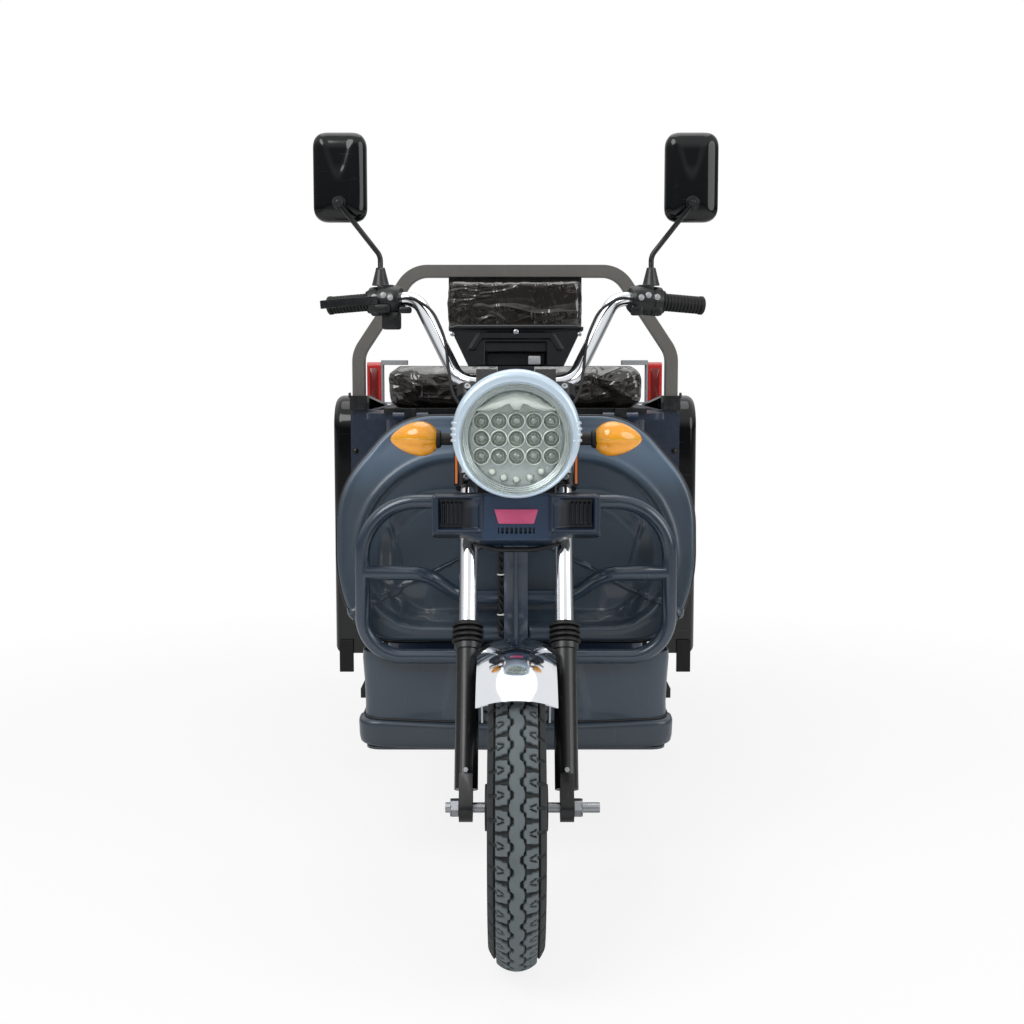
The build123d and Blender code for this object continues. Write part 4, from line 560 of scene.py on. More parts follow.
def make_materials(paint, effects):
    """Every finish of the record's slots, and the few that only show here."""
    metal = dict(scratches=0.05, wear=0.08)
    glassy = dict(coat=0.6, spread=0.05, Subsurface_Scale=0.01)
    made = {
        "tyre_rubber": dict(
            colour="#626b6f", rough=0.72, spread=0.25, drift=0.22, drift_size=0.03, dust=0.04,
            grain=(0.0006, 0.12), shade=True,
        ),
        "wheel_paint": dict(colour="#26282c", rough=0.4, metal=0.4, dust=0.1, **metal),
        "chrome": dict(
            colour="#dfe2e6", rough=0.07, metal=1.0, spread=0.06, drift=0.03, scratches=0.05,
            grain=(0.02, 0.02),
        ),
        "silver_trim": dict(
            colour="#c9dbea", rough=0.3, metal=0.25, coat=0.4, spread=0.1, drift=0.03, grain=(0.0005, 0.01),
        ),
        "black_metal": dict(
            colour="#0b0d10", rough=0.34, coat=0.15, dust=0.03, Specular_IOR_Level=0.4, **metal
        ),
        "frame_paint": dict(
            colour="#303c4d", rough=0.26, coat=0.4, dust=0.02, scratches=0.02, grain=(0.0008, 0.03),
        ),
        "slate_paint": dict(
            colour=tuple(paint.tube_colour), rough=0.24, metal=0.1, coat=0.5, dust=0.02, scratches=0.02,
            grain=(0.0012, 0.02),
        ),
        "slate_plastic": dict(
            colour=tuple(paint.shield_colour), rough=0.36, coat=0.3, drift=0.07, dust=0.04, scratches=0.03,
            grain=(0.0012, 0.03), shade=True,
        ),
        "black_plastic": dict(
            colour="#0b0d10", rough=0.4, coat=0.1, dust=0.02, grain=(0.0009, 0.06), Specular_IOR_Level=0.4,
        ),
        "horn": dict(colour="#1e3550", rough=0.36, coat=0.2, dust=0.03, grain=(0.0009, 0.05), shade=True),
        "gloss_black": dict(
            colour=tuple(paint.fender_colour), rough=0.1, coat=0.2, spread=0.05, scratches=0.03,
            grain=(0.03, 0.05), Specular_IOR_Level=0.3,
        ),
        "hoop_paint": dict(colour=tuple(paint.hoop_colour), rough=0.38, metal=0.3, coat=0.2, **metal),
        "rubber": dict(
            colour="#0b0c0d", Specular_IOR_Level=0.35, rough=0.55, spread=0.2, dust=0.03, grain=(0.0007, 0.08)
        ),
        "lamp_inner": dict(
            colour="#aeb5b2", rough=0.26, metal=0.35, spread=0.1, drift=0.12, drift_size=0.02, grain=None,
        ),
        "lens_rings": dict(colour="#dfe3da", rough=0.2, metal=0.2, coat=0.5, drift=0.05, grain=None),
        "lens_beads": dict(
            colour="#858c84", rough=0.16, metal=0.3, coat=0.8, drift=0.3, drift_size=0.02, grain=None,
        ),
        "amber_lens": dict(
            colour=tuple(paint.amber), rough=0.12, drift=0.18, drift_size=0.02, grain=(0.004, 0.12),
            Subsurface_Weight=0.25, **glassy
        ),
        "red_lens": dict(
            colour=tuple(paint.red), rough=0.14, drift=0.2, drift_size=0.03, grain=(0.004, 0.1),
            Subsurface_Weight=0.15, **glassy
        ),
        "deep_red": dict(
            colour="#6e1210", rough=0.2, coat=0.4, spread=0.05, drift=0.2, drift_size=0.03, grain=(0.004, 0.1)
        ),
        "light_grey": dict(colour="#9c9ea1", rough=0.4, metal=0.2, dust=0.03, **metal),
        "seat_cover": dict(
            colour="#131315", rough=0.38, coat=0.9, spread=0.25, drift=0.3, drift_size=0.03,
            grain=(0.0014, 0.15),
        ),
        "bed_paint": dict(colour=tuple(paint.bed_colour), rough=0.3, metal=0.1, coat=0.4, dust=0.03, **metal),
        "mirror_glass": dict(colour="#d9dde0", rough=0.03, metal=1.0, spread=0.02, drift=0.02, grain=None),
        "steel": dict(
            colour="#9c9fa3", rough=0.34, metal=1.0, drift=0.12, drift_size=0.02, grain=(0.0006, 0.03),
            **metal
        ),
        "seal": dict(colour="#0c0d0f", rough=0.5, spread=0.15, grain=(0.001, 0.04)),
        "plate": dict(colour="#c24a74", rough=0.35, coat=0.4, spread=0.1, grain=(0.0006, 0.02)),
        "film": dict(
            colour="#1b1714", rough=0.16, coat=1.0, spread=0.2, drift=0.5, drift_size=0.02, grain=None,
            folds=1.3,
        ),
        "dial": dict(colour="#e4e6e2", rough=0.4, grain=None),
        "orange_trim": dict(colour="#d8722a", rough=0.25, coat=0.5, grain=(0.002, 0.05)),
    }
    finishes = {
        name: finish(effects, name.replace("_", " ").capitalize(), **facts) for name, facts in made.items()
    }
    lens = bpy.data.materials.new("Clear lens")
    lens.use_nodes = True
    tree = lens.node_tree
    glass = node_of_type(tree, "BSDF_PRINCIPLED")
    tree.links.new(use(tree, effects["gloss"], Base=0.0, Spread=0.01), glass.inputs["Roughness"])
    tree.links.new(
        use(tree, effects["drift"], Colour=screen("#f4f7f8"), Amount=0.02), glass.inputs["Base Color"],
    )
    for key, value in (("Transmission Weight", 1.0), ("IOR", 1.12), ("Metallic", 0.0)):
        glass.inputs[key].default_value = value
    finishes["clear_lens"] = lens
    return finishes


# Settings a maker would change


def colour_of(name, description, code):
    """A colour setting whose default is a screen colour."""
    return FloatVectorProperty(
        name=name, description=description, subtype="COLOR", size=3, default=screen(code)[:3]
    )


class TRIKE_PG_paint(bpy.types.PropertyGroup):
    """Colours of the painted and moulded pieces."""

    shield_colour: colour_of("Shield", "Moulded leg shield and apron", "#55697d")
    tube_colour: colour_of("Guard bar", "Painted tube before the shield", "#2c3a4a")
    bed_colour: colour_of("Bed", "Pressed steel of bed and seat box", "#1b2a40")
    fender_colour: colour_of("Fenders", "High-gloss mouldings", "#05070a")
    hoop_colour: colour_of("Hoop", "Tube behind the driver", "#6b6965")
    amber: colour_of("Signals", "Turn signal lenses", "#f7a51a")
    red: colour_of("Tail lamps", "Tail lamp lenses", "#c02a28")


class TRIKE_PG_tyre(bpy.types.PropertyGroup):
    """Tread of the three tyres."""

    pitches: IntProperty(
        name="Blocks around", description="Tread blocks in one turn", default=42, min=20, max=80,
    )
    groove: FloatProperty(
        name="Groove depth", description="Depth of the tread in millimetres", default=5.5, min=1, max=9,
    )
    rib: FloatProperty(
        name="Rib half width", description="Half width of the middle rib in millimetres", default=9.5, min=4,
        max=14,
    )


class TRIKE_PG_lamp(bpy.types.PropertyGroup):
    """Headlamp and its lenses."""

    columns: IntProperty(name="Lens columns", description="Round lenses across", default=5, min=1, max=8)
    rows: IntProperty(name="Lens rows", description="Round lenses up", default=3, min=1, max=6)
    pitch: FloatProperty(
        name="Lens pitch", description="Distance between lenses in millimetres", default=26.2, min=10, max=40,
    )
    drop: FloatProperty(
        name="Opening drop", description="How far the opening lies low, in mm", default=8.0, min=0, max=12,
    )


class TRIKE_PG_seat(bpy.types.PropertyGroup):
    """Cushions and the film over them."""

    pressure: FloatProperty(
        name="Filling", description="Pressure of the filling in the cloth simulation", default=4.0, min=0,
        max=10,
    )
    travel: FloatProperty(
        name="Most travel", description="How far a point of the cover may move", default=0.009, min=0,
        max=0.03, unit="LENGTH",
    )
    fold: FloatProperty(
        name="Fold height", description="Height of the film's folds in millimetres", default=2.2, min=0, max=8
    )


class TRIKE_PG_stage(bpy.types.PropertyGroup):
    """Camera, lamps and backdrop."""

    lens: FloatProperty(name="Lens", description="Focal length", default=49.4, min=20, max=200, unit="CAMERA")
    distance: FloatProperty(
        name="Distance", description="Camera before the front axle", default=2.006, min=1, max=10,
        unit="LENGTH",
    )
    height: FloatProperty(
        name="Height", description="Camera above the ground", default=0.857, min=0.1, max=4, unit="LENGTH",
    )
    pitch: FloatProperty(
        name="Pitch", description="Camera tilted down", default=radians(5.52), min=-0.5, max=1.5,
        unit="ROTATION",
    )
    key: FloatProperty(
        name="Key lamp", description="Power of the large soft lamp", default=64.0, min=0, max=1000,
        unit="POWER",
    )
    sky: FloatProperty(
        name="Sky", description="Strength of the even light from all round", default=0.37, min=0, max=2,
    )


SETTINGS = {
    "paint": TRIKE_PG_paint, "tyre": TRIKE_PG_tyre, "lamp": TRIKE_PG_lamp, "seat": TRIKE_PG_seat,
    "stage": TRIKE_PG_stage,
}
OPERATORS = []
FINISHES = {}


def setting(context, group):
    """One of the scene's groups of settings."""
    return getattr(context.scene, f"trike_{group}")


def operator(label):
    """Turns a maker function into an Operator that runs it on the scene's settings."""

    def wrap(make):
        def execute(self, context):
            if not FINISHES:
                FINISHES.update(make_materials(setting(context, "paint"), make_effects()))
            make(context)
            return {"FINISHED"}

        name = make.__name__
        OPERATORS.append(
            type(
                f"TRIKE_OT_{name}",
                (bpy.types.Operator,),
                {
                    "bl_idname": f"trike.{name}", "bl_label": label, "__doc__": make.__doc__,
                    "execute": execute,
                },
            )
        )
        return make

    return wrap


# Wheels


def tread(turn, across, pitches, rib, groove):
    """Depth below the crown: the middle rib is |x| < rib + wave, side blocks are arrow shapes between grooves half a
    pitch apart on the two sides, and the shoulders carry shallow lugs. Every edge is eased over about 1.5 mm."""
    pitch = 2 * pi * TYRE_RADIUS / pitches
    u = turn * pitches / (2 * pi) + np.where(across > 0, 0.5, 0.0)
    phase = np.abs((u % 1.0) - 0.5) * pitch
    x = np.abs(across)
    point = ease(8.0 - phase, 0.0, 5.0) * 4.0
    rib_edge = rib - point + 1.2 * np.cos(2 * pi * u)
    middle = ease(rib_edge - x, -0.8, 0.8)
    block_inner = rib + 2.6 - point
    block_half = pitch / 2 - 3.2 + 0.10 * (x - 20)
    block = ease(x - block_inner, -0.8, 0.8) * ease(29.0 - x, -0.8, 0.8) * ease(block_half - phase, -0.8, 0.8)
    slit = ease(1.1 - np.abs(phase - (x - 14.0) * 0.42), -0.7, 0.7)
    slit = slit * ease(x - 16.0, 0, 2) * ease(27.0 - x, 0, 2)
    notch = ease(x - 25.5, 0, 3) * ease(2.6 - phase, -0.8, 0.8)
    block = block * (1 - 0.7 * slit) * (1 - 0.8 * notch)
    lug_phase = np.abs(((u + 0.5) % 1.0) - 0.5) * pitch
    lug = ease(x - 31.5, -0.8, 0.8) * ease(pitch / 2 - 2.6 - lug_phase, -0.8, 0.8) * 0.75
    lug = np.where(x > 36, np.maximum(lug, 0.75 * ease(lug, 0.1, 0.5)), lug)
    return groove * (1 - np.clip(np.maximum(np.maximum(middle, block), lug), 0, 1))


def tyre_surface(centre_x, centre_s, facts, steps, columns):
    """Tyre: crown arc x = R sin(a), r from the shoulder circle through (0, 228.5) and (40, 197.2), less the tread;
    then side walls with two moulded rings down to the bead, turned about the axle."""
    crown, shoulder, half, bead, base = TYRE_RADIUS, 197.2, 40.0, 154.0, 28.0
    drop = crown - shoulder
    radius = (half**2 + drop**2) / (2 * drop)
    reach = np.arcsin(half / radius) if drop < radius else pi - np.arcsin(half / radius)
    angle = np.linspace(-reach, reach, columns)
    crown_x, crown_r = radius * np.sin(angle), crown - radius * (1 - np.cos(angle))
    t = np.linspace(0, 1, 16)[1:]
    ring = 0.9 * np.exp(-(((t - 0.3) / 0.03) ** 2)) + 0.9 * np.exp(-(((t - 0.62) / 0.03) ** 2))
    wall_x, wall_r = half + (base - half) * t + ring + 1.6 * np.sin(pi * t), shoulder + (bead - shoulder) * t
    x = np.concatenate([-wall_x[::-1], crown_x, wall_x])
    r = np.concatenate([wall_r[::-1], crown_r, wall_r])
    turn = np.arange(steps) * 2 * pi / steps
    depth = np.zeros((steps, len(x)))
    on_crown = slice(len(t), len(t) + len(angle))
    depth[:, on_crown] = tread(turn[:, None], crown_x[None, :], facts.pitches, facts.rib, facts.groove)
    depth[:, on_crown] *= ease(half + 0.6 - np.abs(crown_x), 0, 4)[None, :]
    lean = np.arctan2(x, 90.0)
    rr, xx = r[None, :] - depth * np.cos(lean), x[None, :] - depth * np.sin(lean) * 0.6
    rows = points(
        centre_x + xx, centre_s + rr * np.cos(turn)[:, None], AXLE_HEIGHT + rr * np.sin(turn)[:, None],
    )
    return grid(rows, wrap_rows=True, wrap_columns=True)


WHEELS = (("front", 0.0, 0.0), ("rear_left", -262.0, WHEELBASE), ("rear_right", 262.0, WHEELBASE))


@operator("Tyres")
def tyres(context):
    """Three road tyres with a middle rib, side blocks and shoulder lugs; the rear ones have a coarser mesh."""
    for name, x, s in WHEELS:
        steps, columns = (840, 67) if name == "front" else (504, 45)
        surface = tyre_surface(x, s, setting(context, "tyre"), steps, columns)
        node = f"tyre_{name}"
        tyre = object_of(f"{node}.look", BODY_OF[node], "tyre_rubber", surface, 50, (node,))
        across, behind, above = local_corners(tyre, (x, s, AXLE_HEIGHT))
        away = np.abs(across)
        # how far a vertex lies below the crown, an arc of 41.2 mm about a ring of 187.3 mm
        sunk = 187.3 + np.sqrt(np.maximum(41.2**2 - away**2, 0)) - np.hypot(behind, above)
        # painted shade: the grooves, shoulders and side walls are painted darker than the tread tops
        shaded(tyre, np.maximum(0.08 + 0.92 * ease(sunk, 0.6, 2.4), ease(away, 28.5, 31.5)))


@operator("Wheel details")
def wheel_details(context):
    """Eight bolts and a valve on the outer side of each wheel."""
    bolt_circle, valve_circle = 62, 118
    bolt = [(0, 7.5), (1.2, 7.5), (1.3, 6.2), (5.4, 6.2), (6.2, 5.0)]
    stem = [(0, 5), (3, 5), (5, 3.4), (26, 3), (27, 4), (33, 4), (34, 2.5)]
    for name, x, s in WHEELS:
        body, outer = BODY_OF[f"wheel_{name}"], 1 if x >= 0 else -1
        centre = np.array([x, s, AXLE_HEIGHT])
        bolts = []
        for turn in np.arange(8) * pi / 4 + pi / 8:
            foot = centre + (outer * 3.4, bolt_circle * cos(turn), bolt_circle * sin(turn))
            bolts.append(turned(foot, (outer, 0, 0), bolt, 6))
        object_of(f"wheel_bolts_{name}", body, "steel", joined(*bolts), 30)
        valve = turned(centre + (outer * 6, 0, valve_circle), (outer * 0.6, 0, 0.2), stem, 14)
        object_of(f"valve_{name}", body, "rubber", valve)


# Lamps

LAMP_FACE, LAMP_LEVEL, LAMP_RADIUS, LAMP_OPENING = 65.0, 772.0, 96.0, 82.0
LENS_PLATE = LAMP_FACE + 25.0
LENS_BACK = LENS_PLATE + 12.0


def lamp_shell(drop):
    """Rings round the lamp's axis: a rim and hood from the opening outwards, then a bowl that bulges as a sine."""
    turn = np.arange(160) * 2 * pi / 160
    hood = ease(np.sin(turn), -0.3, 0.9)
    # share of the way from opening to rim, distance behind the face, how much the hood reaches forward there
    section = [
        (0.0, 42.0, 0.0), (0.0, 9.0, 0.0), (0.05, 6.5, 0.4), (0.12, 5.0, 0.0), (0.16, 3.4, 1.0), (0.5, 1.6, 1.0),
        (0.8, 3.6, 0.8), (0.94, 8.0, 0.5), (1.0, 15.0, 0.2), (1.0, 34.0, 0.0), (0.99, 35.5, 0.0), (0.7, 36.5, 0.0),
    ]
    hood_reach, rim_inset, bowl_radius, rear_radius, bulge, bowl_depth = 2.0, 0.3, 92.0, 38.0, 16.0, 90.5
    rows = []
    for share, back, hooded in section:
        middle = LAMP_LEVEL - drop * (1 - share)
        r = LAMP_OPENING + (LAMP_RADIUS - rim_inset - LAMP_OPENING) * share
        rows.append(
            points(r * np.cos(turn), LAMP_FACE + back - hood_reach * hooded * hood, middle + r * np.sin(turn))
        )
    for t in np.linspace(0, 1, 12):
        r = bowl_radius + (rear_radius - bowl_radius) * t + bulge * np.sin(pi * t)
        rows.append(points(r * np.cos(turn), LAMP_FACE + 37 + bowl_depth * t, LAMP_LEVEL + r * np.sin(turn)))
    return capped(np.stack(rows[::-1]))


def lamp_ribs():
    """Four short ribs over the rim at each side, rib_pitch apart in height."""
    rib_pitch, rib_radius = 8.6, 2.6
    # how far inside the rim and how far behind the face a rib passes
    rib_section = ((11, 5), (4, 3.4), (0.4, 12), (0.5, 33))
    ribs = []
    for side in SIDES:
        for k in range(4):
            height = LAMP_LEVEL + 3.0 + (k - 1.5) * rib_pitch
            reach = (LAMP_RADIUS**2 - (height - LAMP_LEVEL) ** 2) ** 0.5
            route = [(side * (reach - inset), LAMP_FACE + back, height) for inset, back in rib_section]
            ribs.append(tube(even(route, 14), rib_radius, 8))
    return ribs


def lens_parts(facts, middle):
    """Rims and glasses of the round lenses and of the five small ones below them, as two lists of solids."""
    rim = [(0, 13.2), (-7.4, 13.2), (-8.8, 12.9), (-9.2, 12.2), (-8.4, 11.5), (-2.0, 11.2), (0, 11.2)]
    bead = [
        (0, 10.8), (-3.4, 10.6), (-3.6, 9.4), (-3.0, 9.0), (-4.6, 8.2), (-4.8, 6.6), (-4.0, 6.2), (-6.4, 3.8),
        (-7.2, 1.6), (-7.3, 0.4),
    ]
    small_rim = [(0, 5.2), (-4.4, 5.0), (-6.4, 3.6), (-7.2, 1.2), (-7.3, 0.3)]
    small_glass = [(0, 6.4), (-1.2, 6.4), (-1.4, 5.0), (-1.4, 0.4)]
    rims, glasses = [], []
    for i in range(facts.columns):
        for j in range(facts.rows):
            x = (i - (facts.columns - 1) / 2) * facts.pitch
            z = middle + (j - (facts.rows - 1) / 2) * facts.pitch
            rims.append(turned((x, LENS_BACK, z), BACKWARDS, rim, 36))
            glasses.append(turned((x, LENS_BACK, z), BACKWARDS, bead, 28))
    for turn in np.radians((-126, -108, -90, -71, -53)):
        x, z = 62 * cos(turn), middle + 61 * sin(turn)
        rims.append(turned((x, LENS_BACK, z), BACKWARDS, small_rim, 18))
        glasses.append(turned((x + 0.6, LENS_BACK - 0.4, z - 1.4), BACKWARDS, small_glass, 18))
    return rims, glasses


@operator("Headlamp")
def headlamp(context):
    """Silver shell with a hood, clear front, ringed bowl with round lenses, a folded brow and small lower lenses."""
    facts = setting(context, "lamp")
    middle = LAMP_LEVEL - facts.drop
    shell = joined(lamp_shell(facts.drop), *lamp_ribs())
    object_of("headlamp_shell.look", "steering", "silver_trim", shell, 60, ("headlamp_shell",))
    glass_radius = LAMP_OPENING - 0.4
    ring = np.linspace(0, 1, 14)
    dome = [(5 - 9 * (1 - r**2), r * glass_radius) for r in ring[1:]] + [(9.0, glass_radius)]
    dome += [(9 - 7.5 * (1 - r**2), r * glass_radius) for r in ring[::-1][1:-1]]
    lens = turned((0, LAMP_FACE + 3, middle), BACKWARDS, dome, 96)
    object_of("headlamp_lens.look", "steering", "clear_lens", lens, 60, ("headlamp_lens",))
    bowl = [
        (12, 0.5), (12, 69), (10, 71), (3, 72.4), (2.2, 74.2), (-3, 74.8), (-4, 77), (-9, 77.4), (-10, 79.4),
        (-14, 80.4), (-14, 82), (14, 82), (14, 0.5),
    ]
    bowl = turned((0, LENS_PLATE, middle), BACKWARDS, bowl, 128)
    object_of("headlamp_bowl", "steering", "lamp_inner", bowl, 30, ("headlamp_leds",))
    rims, glasses = lens_parts(facts, middle)
    object_of("headlamp_lens_rims", "steering", "lamp_inner", joined(*rims), 35, finish="lens_rings")
    object_of("headlamp_lens_beads", "steering", "lamp_inner", joined(*glasses), 35, finish="lens_beads")
    # the brow: a bright arched cap over two darker folded facets
    half_width, span, t = 62, np.linspace(-1, 1, 81), np.linspace(0, 1, 9)
    top = middle + 67 - 24 * np.abs(span) ** 1.5
    foot = middle + 43 - 2 * np.abs(span)
    z = foot[:, None] + (top - foot)[:, None] * t
    x = np.broadcast_to(span[:, None] * half_width, z.shape)
    brow = plate_of(x, z, LENS_PLATE + 4 - 5 * np.sin(pi * t), LENS_PLATE + 11.5)
    object_of("headlamp_brow", "steering", "lamp_inner", brow, 25, finish="lens_rings")
    t, r = np.linspace(0, 1, 7), np.linspace(0, 1, 13)[:, None]
    z = middle + 40.5 + t * (12 - 7 * r)
    facets = [
        plate_of(side * (3 + 7 * t * (1 - r) + 35 * r), z, LENS_PLATE - 2 + 5 * r + 0 * t, LENS_PLATE + 11)
        for side in SIDES
    ]
    object_of("headlamp_facets", "steering", "lamp_inner", joined(*facets), 25, finish="lens_beads")


@operator("Turn signals")
def signals(context):
    """Almond-shaped amber lenses, half height sin(pi t^0.72)^0.62, with an upper facet, on black stalks, and slim
    orange side reflectors."""
    back, level, root, length, stalk_start, reflector_at = 150, 761, 118.3, 75, 97.0, 92
    t = np.linspace(0, 1, 34)
    turn = np.arange(48) * 2 * pi / 48
    half = np.sin(pi * t**0.72) ** 0.62
    half[0] = half[-1] = 0.0
    height, depth = (27.5 * half)[:, None], 27.0 * half
    facet = 1.0 - 0.10 * ease(np.cos(3 * (turn - pi / 2)), 0.6, 0.9)
    sleeve = [(0, 9.4), (17.5, 9.4), (19, 13.0), (24, 14.5), (27, 13.5), (28, 9.0)]
    for side, label in zip(SIDES, ("left", "right")):
        x = side * (root + length * t)
        middle = level + 1.5 * np.sin(pi * t)[:, None]
        rows = points(
            x[:, None], back + depth[:, None] * np.cos(turn) * facet, middle + height * np.sin(turn) * facet
        )
        rows[0] = rows[0] * 0.94 + rows[1] * 0.06
        rows[-1] = rows[-1] * 0.97 + rows[-2] * 0.03
        seam = [(x[2], back - depth[2] * 0.98, level)]
        seam += [(x[k], back - depth[k] * 0.985, level + 1) for k in range(3, 32, 3)]
        lens = joined(capped(rows), tube(even(seam, 30), 1.1, 8))
        stands_for = ("turn_signals",) if side < 0 else ()
        object_of(f"signal_lens_{label}", "steering", "amber_lens", lens, 28, stands_for)
        stalk = turned((side * stalk_start, back, level), (side, 0, 0), sleeve, 28)
        object_of(f"signal_rim_{label}", "steering", "rubber", stalk)
        at = side * reflector_at
        strip = boxed((at - 1.9, 146, 692), (at + 1.9, 151, 744), 1.2)
        holder = boxed((at - 3.6, 150.5, 689), (at + 3.6, 186, 747), 1.4)
        object_of(f"side_reflector_{label}", "steering", "amber_lens", strip, finish="orange_trim")
        object_of(f"reflector_holder_{label}", "steering", "black_plastic", holder)


# Horn cover and dash cowl


def horn_face(x, z, front):
    """Front distance: framed pockets with a ramp on the inner side and slats on the outer side, a middle block set
    back by 3 mm with a row of slots, and an underside that falls back below the pods and the block."""
    block_half, pocket_in, pocket_out, pocket_low, pocket_high = 52, 56, 119, 624, 672.5
    frame_in, frame_out, frame_low, frame_high = 49, 128.8, 617.5, 678
    slat_pitch, slot_pitch, slot_reach, slot_depth = 6.4, 7.0, 28, 7.0
    a = np.abs(x)
    block = ease(block_half - a, 0, 4)
    depth = front + 1.6 + 3.0 * block
    pocket = within_box(a, z, pocket_in, pocket_out, pocket_low, pocket_high)
    frame_at = within_box(a, z, frame_in, frame_out, frame_low, frame_high)
    bead = 1.6 * np.exp(-(((pocket + 1.8) / 1.6) ** 2))
    depth = depth - bead + 2.0 * ease(2.2 - frame_at, 0, 2) * (1 - block)
    ramp = 9.5 * (1 - ease(a, pocket_in, 86))
    ramp = ramp + 5.0 * ease(z, 660 - 0.25 * (a - pocket_in), 672) * ease(a, 84, 60)
    slat = 5.5 * ease(np.cos(2 * pi * (a - 60) / slat_pitch), -0.1, 0.5)
    slat = slat * ease(a, 80, 85) * ease(117 - a, 0, 1.5) * ease(666 - z, 0, 3) * ease(z - 630, 0, 3)
    depth = depth + ease(pocket, 0, 3.0) * np.maximum(12.0 - np.maximum(ramp, slat), 0.5)
    underside = 609 + 10 * ease(a, 54, 84)
    depth = depth + 22.0 * ease(underside - z, 0, 13) * ease(a, 130, 120)
    slots = (a < slot_reach) * ease(z - 618, 0, 1) * ease(627 - z, 0, 1)
    return depth + slot_depth * slots * ease(np.cos(2 * pi * x / slot_pitch), 0.0, 0.3)


@operator("Horn cover")
def horn_cover(context):
    """Moulded cover: a middle block with a blank plate and a row of slots between two pods with slatted pockets."""
    front, back, half_width = 122.0, 160.4, 128.8
    xs = np.linspace(-half_width, half_width, 369)
    far = np.abs(xs)
    low = 596 + 12 * ease(far, 52, 84) + 4 * ease(far, 119, half_width)
    high = 678 - 4 * ease(far, 119, half_width) ** 2
    shell = relief(xs, low, high, 98, lambda x, z: np.minimum(horn_face(x, z, front), back - 3), back, 4.0)
    cover = object_of(
        "horn_cover.look", "steering", "black_plastic", shell, 38, ("horn_cover",), finish="horn",
    )
    x, behind, _ = local_corners(cover)
    # darker on the pods, and painted shade in the pockets, slots and underside, which lie 5.5 to 9 mm and more behind
    # the front
    shaded(cover, 0.1 + 0.45 * ease(np.abs(x), 48, 54) + 0.5 * ease(behind, front + 5.5, front + 9))
    badge = slab(outline_of([(-27, 633), (27, 633), (33.5, 655), (-33.5, 655)], 2.0, 4), 124.6, 130.5, 0.8)
    object_of("badge_plate", "steering", "amber_lens", badge, finish="plate")
    under = route_of([(-66, 150, 600), (-30, 152, 590), (30, 152, 590), (66, 150, 600)], 10.0, 6)
    object_of("horn_cover_lip", "steering", "black_plastic", tube(even(under, 40), 4.0, 10, BACKWARDS), 50)


def cowl_face(x, z, front):
    """Front distance: a lip along the top, a rib along |x| = 56 + 0.62 (926 - z), the opening below z = 897."""
    a = np.abs(x)
    depth = front + 5.0 + 2.0 * ease(932 - z, 0, 4)
    depth = depth - 5.0 * ease(z, 932, 935)
    rib_top = ease(z, 916, 919) * ease(929 - z, 0, 2) * ease(60 - a, 0, 6)
    leg = ease(7.0 - np.abs(a - (56 + (926 - z) * 0.62)), 0, 3) * ease(z, 898, 901) * ease(930 - z, 0, 3)
    depth = depth - 3.6 * np.maximum(rib_top, leg)
    step = ease(52 - a, 0, 4) * ease(914 - z, 0, 3)
    opening = ease(50 - a, 0, 2.5) * ease(897 - z, 0, 2.0)
    return depth + 5.0 * step + 20.0 * opening


@operator("Dash cowl")
def cowl(context):
    """Cowl behind the lamp: a lipped top, a raised trapezoid rib with a middle screw and a deep dark opening."""
    front, back, half_width, dial_level = 296.0, 369.8, 109.8, 907
    xs = np.linspace(-half_width, half_width, 200)
    far = np.abs(xs)
    high = 940 - 3.0 * ease(far, 96, 110)
    low = np.minimum(873 + 2.1 * np.clip(far - 78, 0, 40), high - 6)
    face = relief(xs, low, high, 80, lambda x, z: cowl_face(x, z, front), back, 3.0)
    object_of("dash_cowl.look", "steering", "black_plastic", face, 38, ("dash_cowl",))
    screws = [turned((0, 300.6, 929), FORWARDS, [(0, 4.5), (3.4, 4.5), (4.6, 3.0)], 14)]
    screws += [turned((x, 303, 925), FORWARDS, [(0, 3.5), (2.6, 3.5), (3.4, 2.0)], 12) for x in (-104, 104)]
    object_of("cowl_screws", "steering", "steel", joined(*screws))
    object_of("cowl_connector", "steering", "light_grey", boxed((20, 300, 876), (40, 322, 890), 1.5))
    # the rider's side: a dial with plain ticks and a pointer in a dark bezel
    bezel = [(0, 31), (8.0, 31), (10.4, 29.5), (10.4, 27), (7.5, 26), (7.5, 0.5)]
    object_of("dial_bezel", "steering", "black_plastic", turned((0, 364.0, dial_level), BACKWARDS, bezel, 64))
    disc = turned((0, 371.6, dial_level), BACKWARDS, [(0, 25.6), (0.8, 25.6), (0.9, 0.4)], 64)
    object_of("dial_face", "steering", "light_grey", disc, finish="dial")
    ticks = []
    for turn in np.radians(np.linspace(-40, 220, 14)):
        ends = [(cos(turn) * r, 372.7, dial_level + sin(turn) * r) for r in (19, 24)]
        ticks.append(tube(np.array(ends), 0.55, 6, BACKWARDS))
    pointer = np.array([(0, 373.2, dial_level), (-12.0, 373.2, dial_level - 13)])
    ticks.append(tube(pointer, 0.8, 6, BACKWARDS))
    object_of("dial_ticks", "steering", "black_plastic", joined(*ticks), finish="seal")


# Leg shield and apron

SHIELD_TILT, SHIELD_FOOT, SHIELD_BASE = radians(7.0), 330, 411
SHIELD_OUTLINE = mirrored([(258, 0), (303, 94), (303, 257), (196, 383)])
SHIELD_ARCH = mirrored([(205, 26), (262, 96), (268, 190), (190, 312)])
SHIELD_INNER = mirrored([(190, 22), (238, 90), (240, 190), (165, 262)])
PANEL_WALL = 3.6


def on_shield(u, v, depth):
    """A point of the shield's leaning plane: across, up along it and square into it."""
    back = SHIELD_FOOT + v * sin(SHIELD_TILT) + depth * cos(SHIELD_TILT)
    return points(u, back, SHIELD_BASE + v * cos(SHIELD_TILT) - depth * sin(SHIELD_TILT))


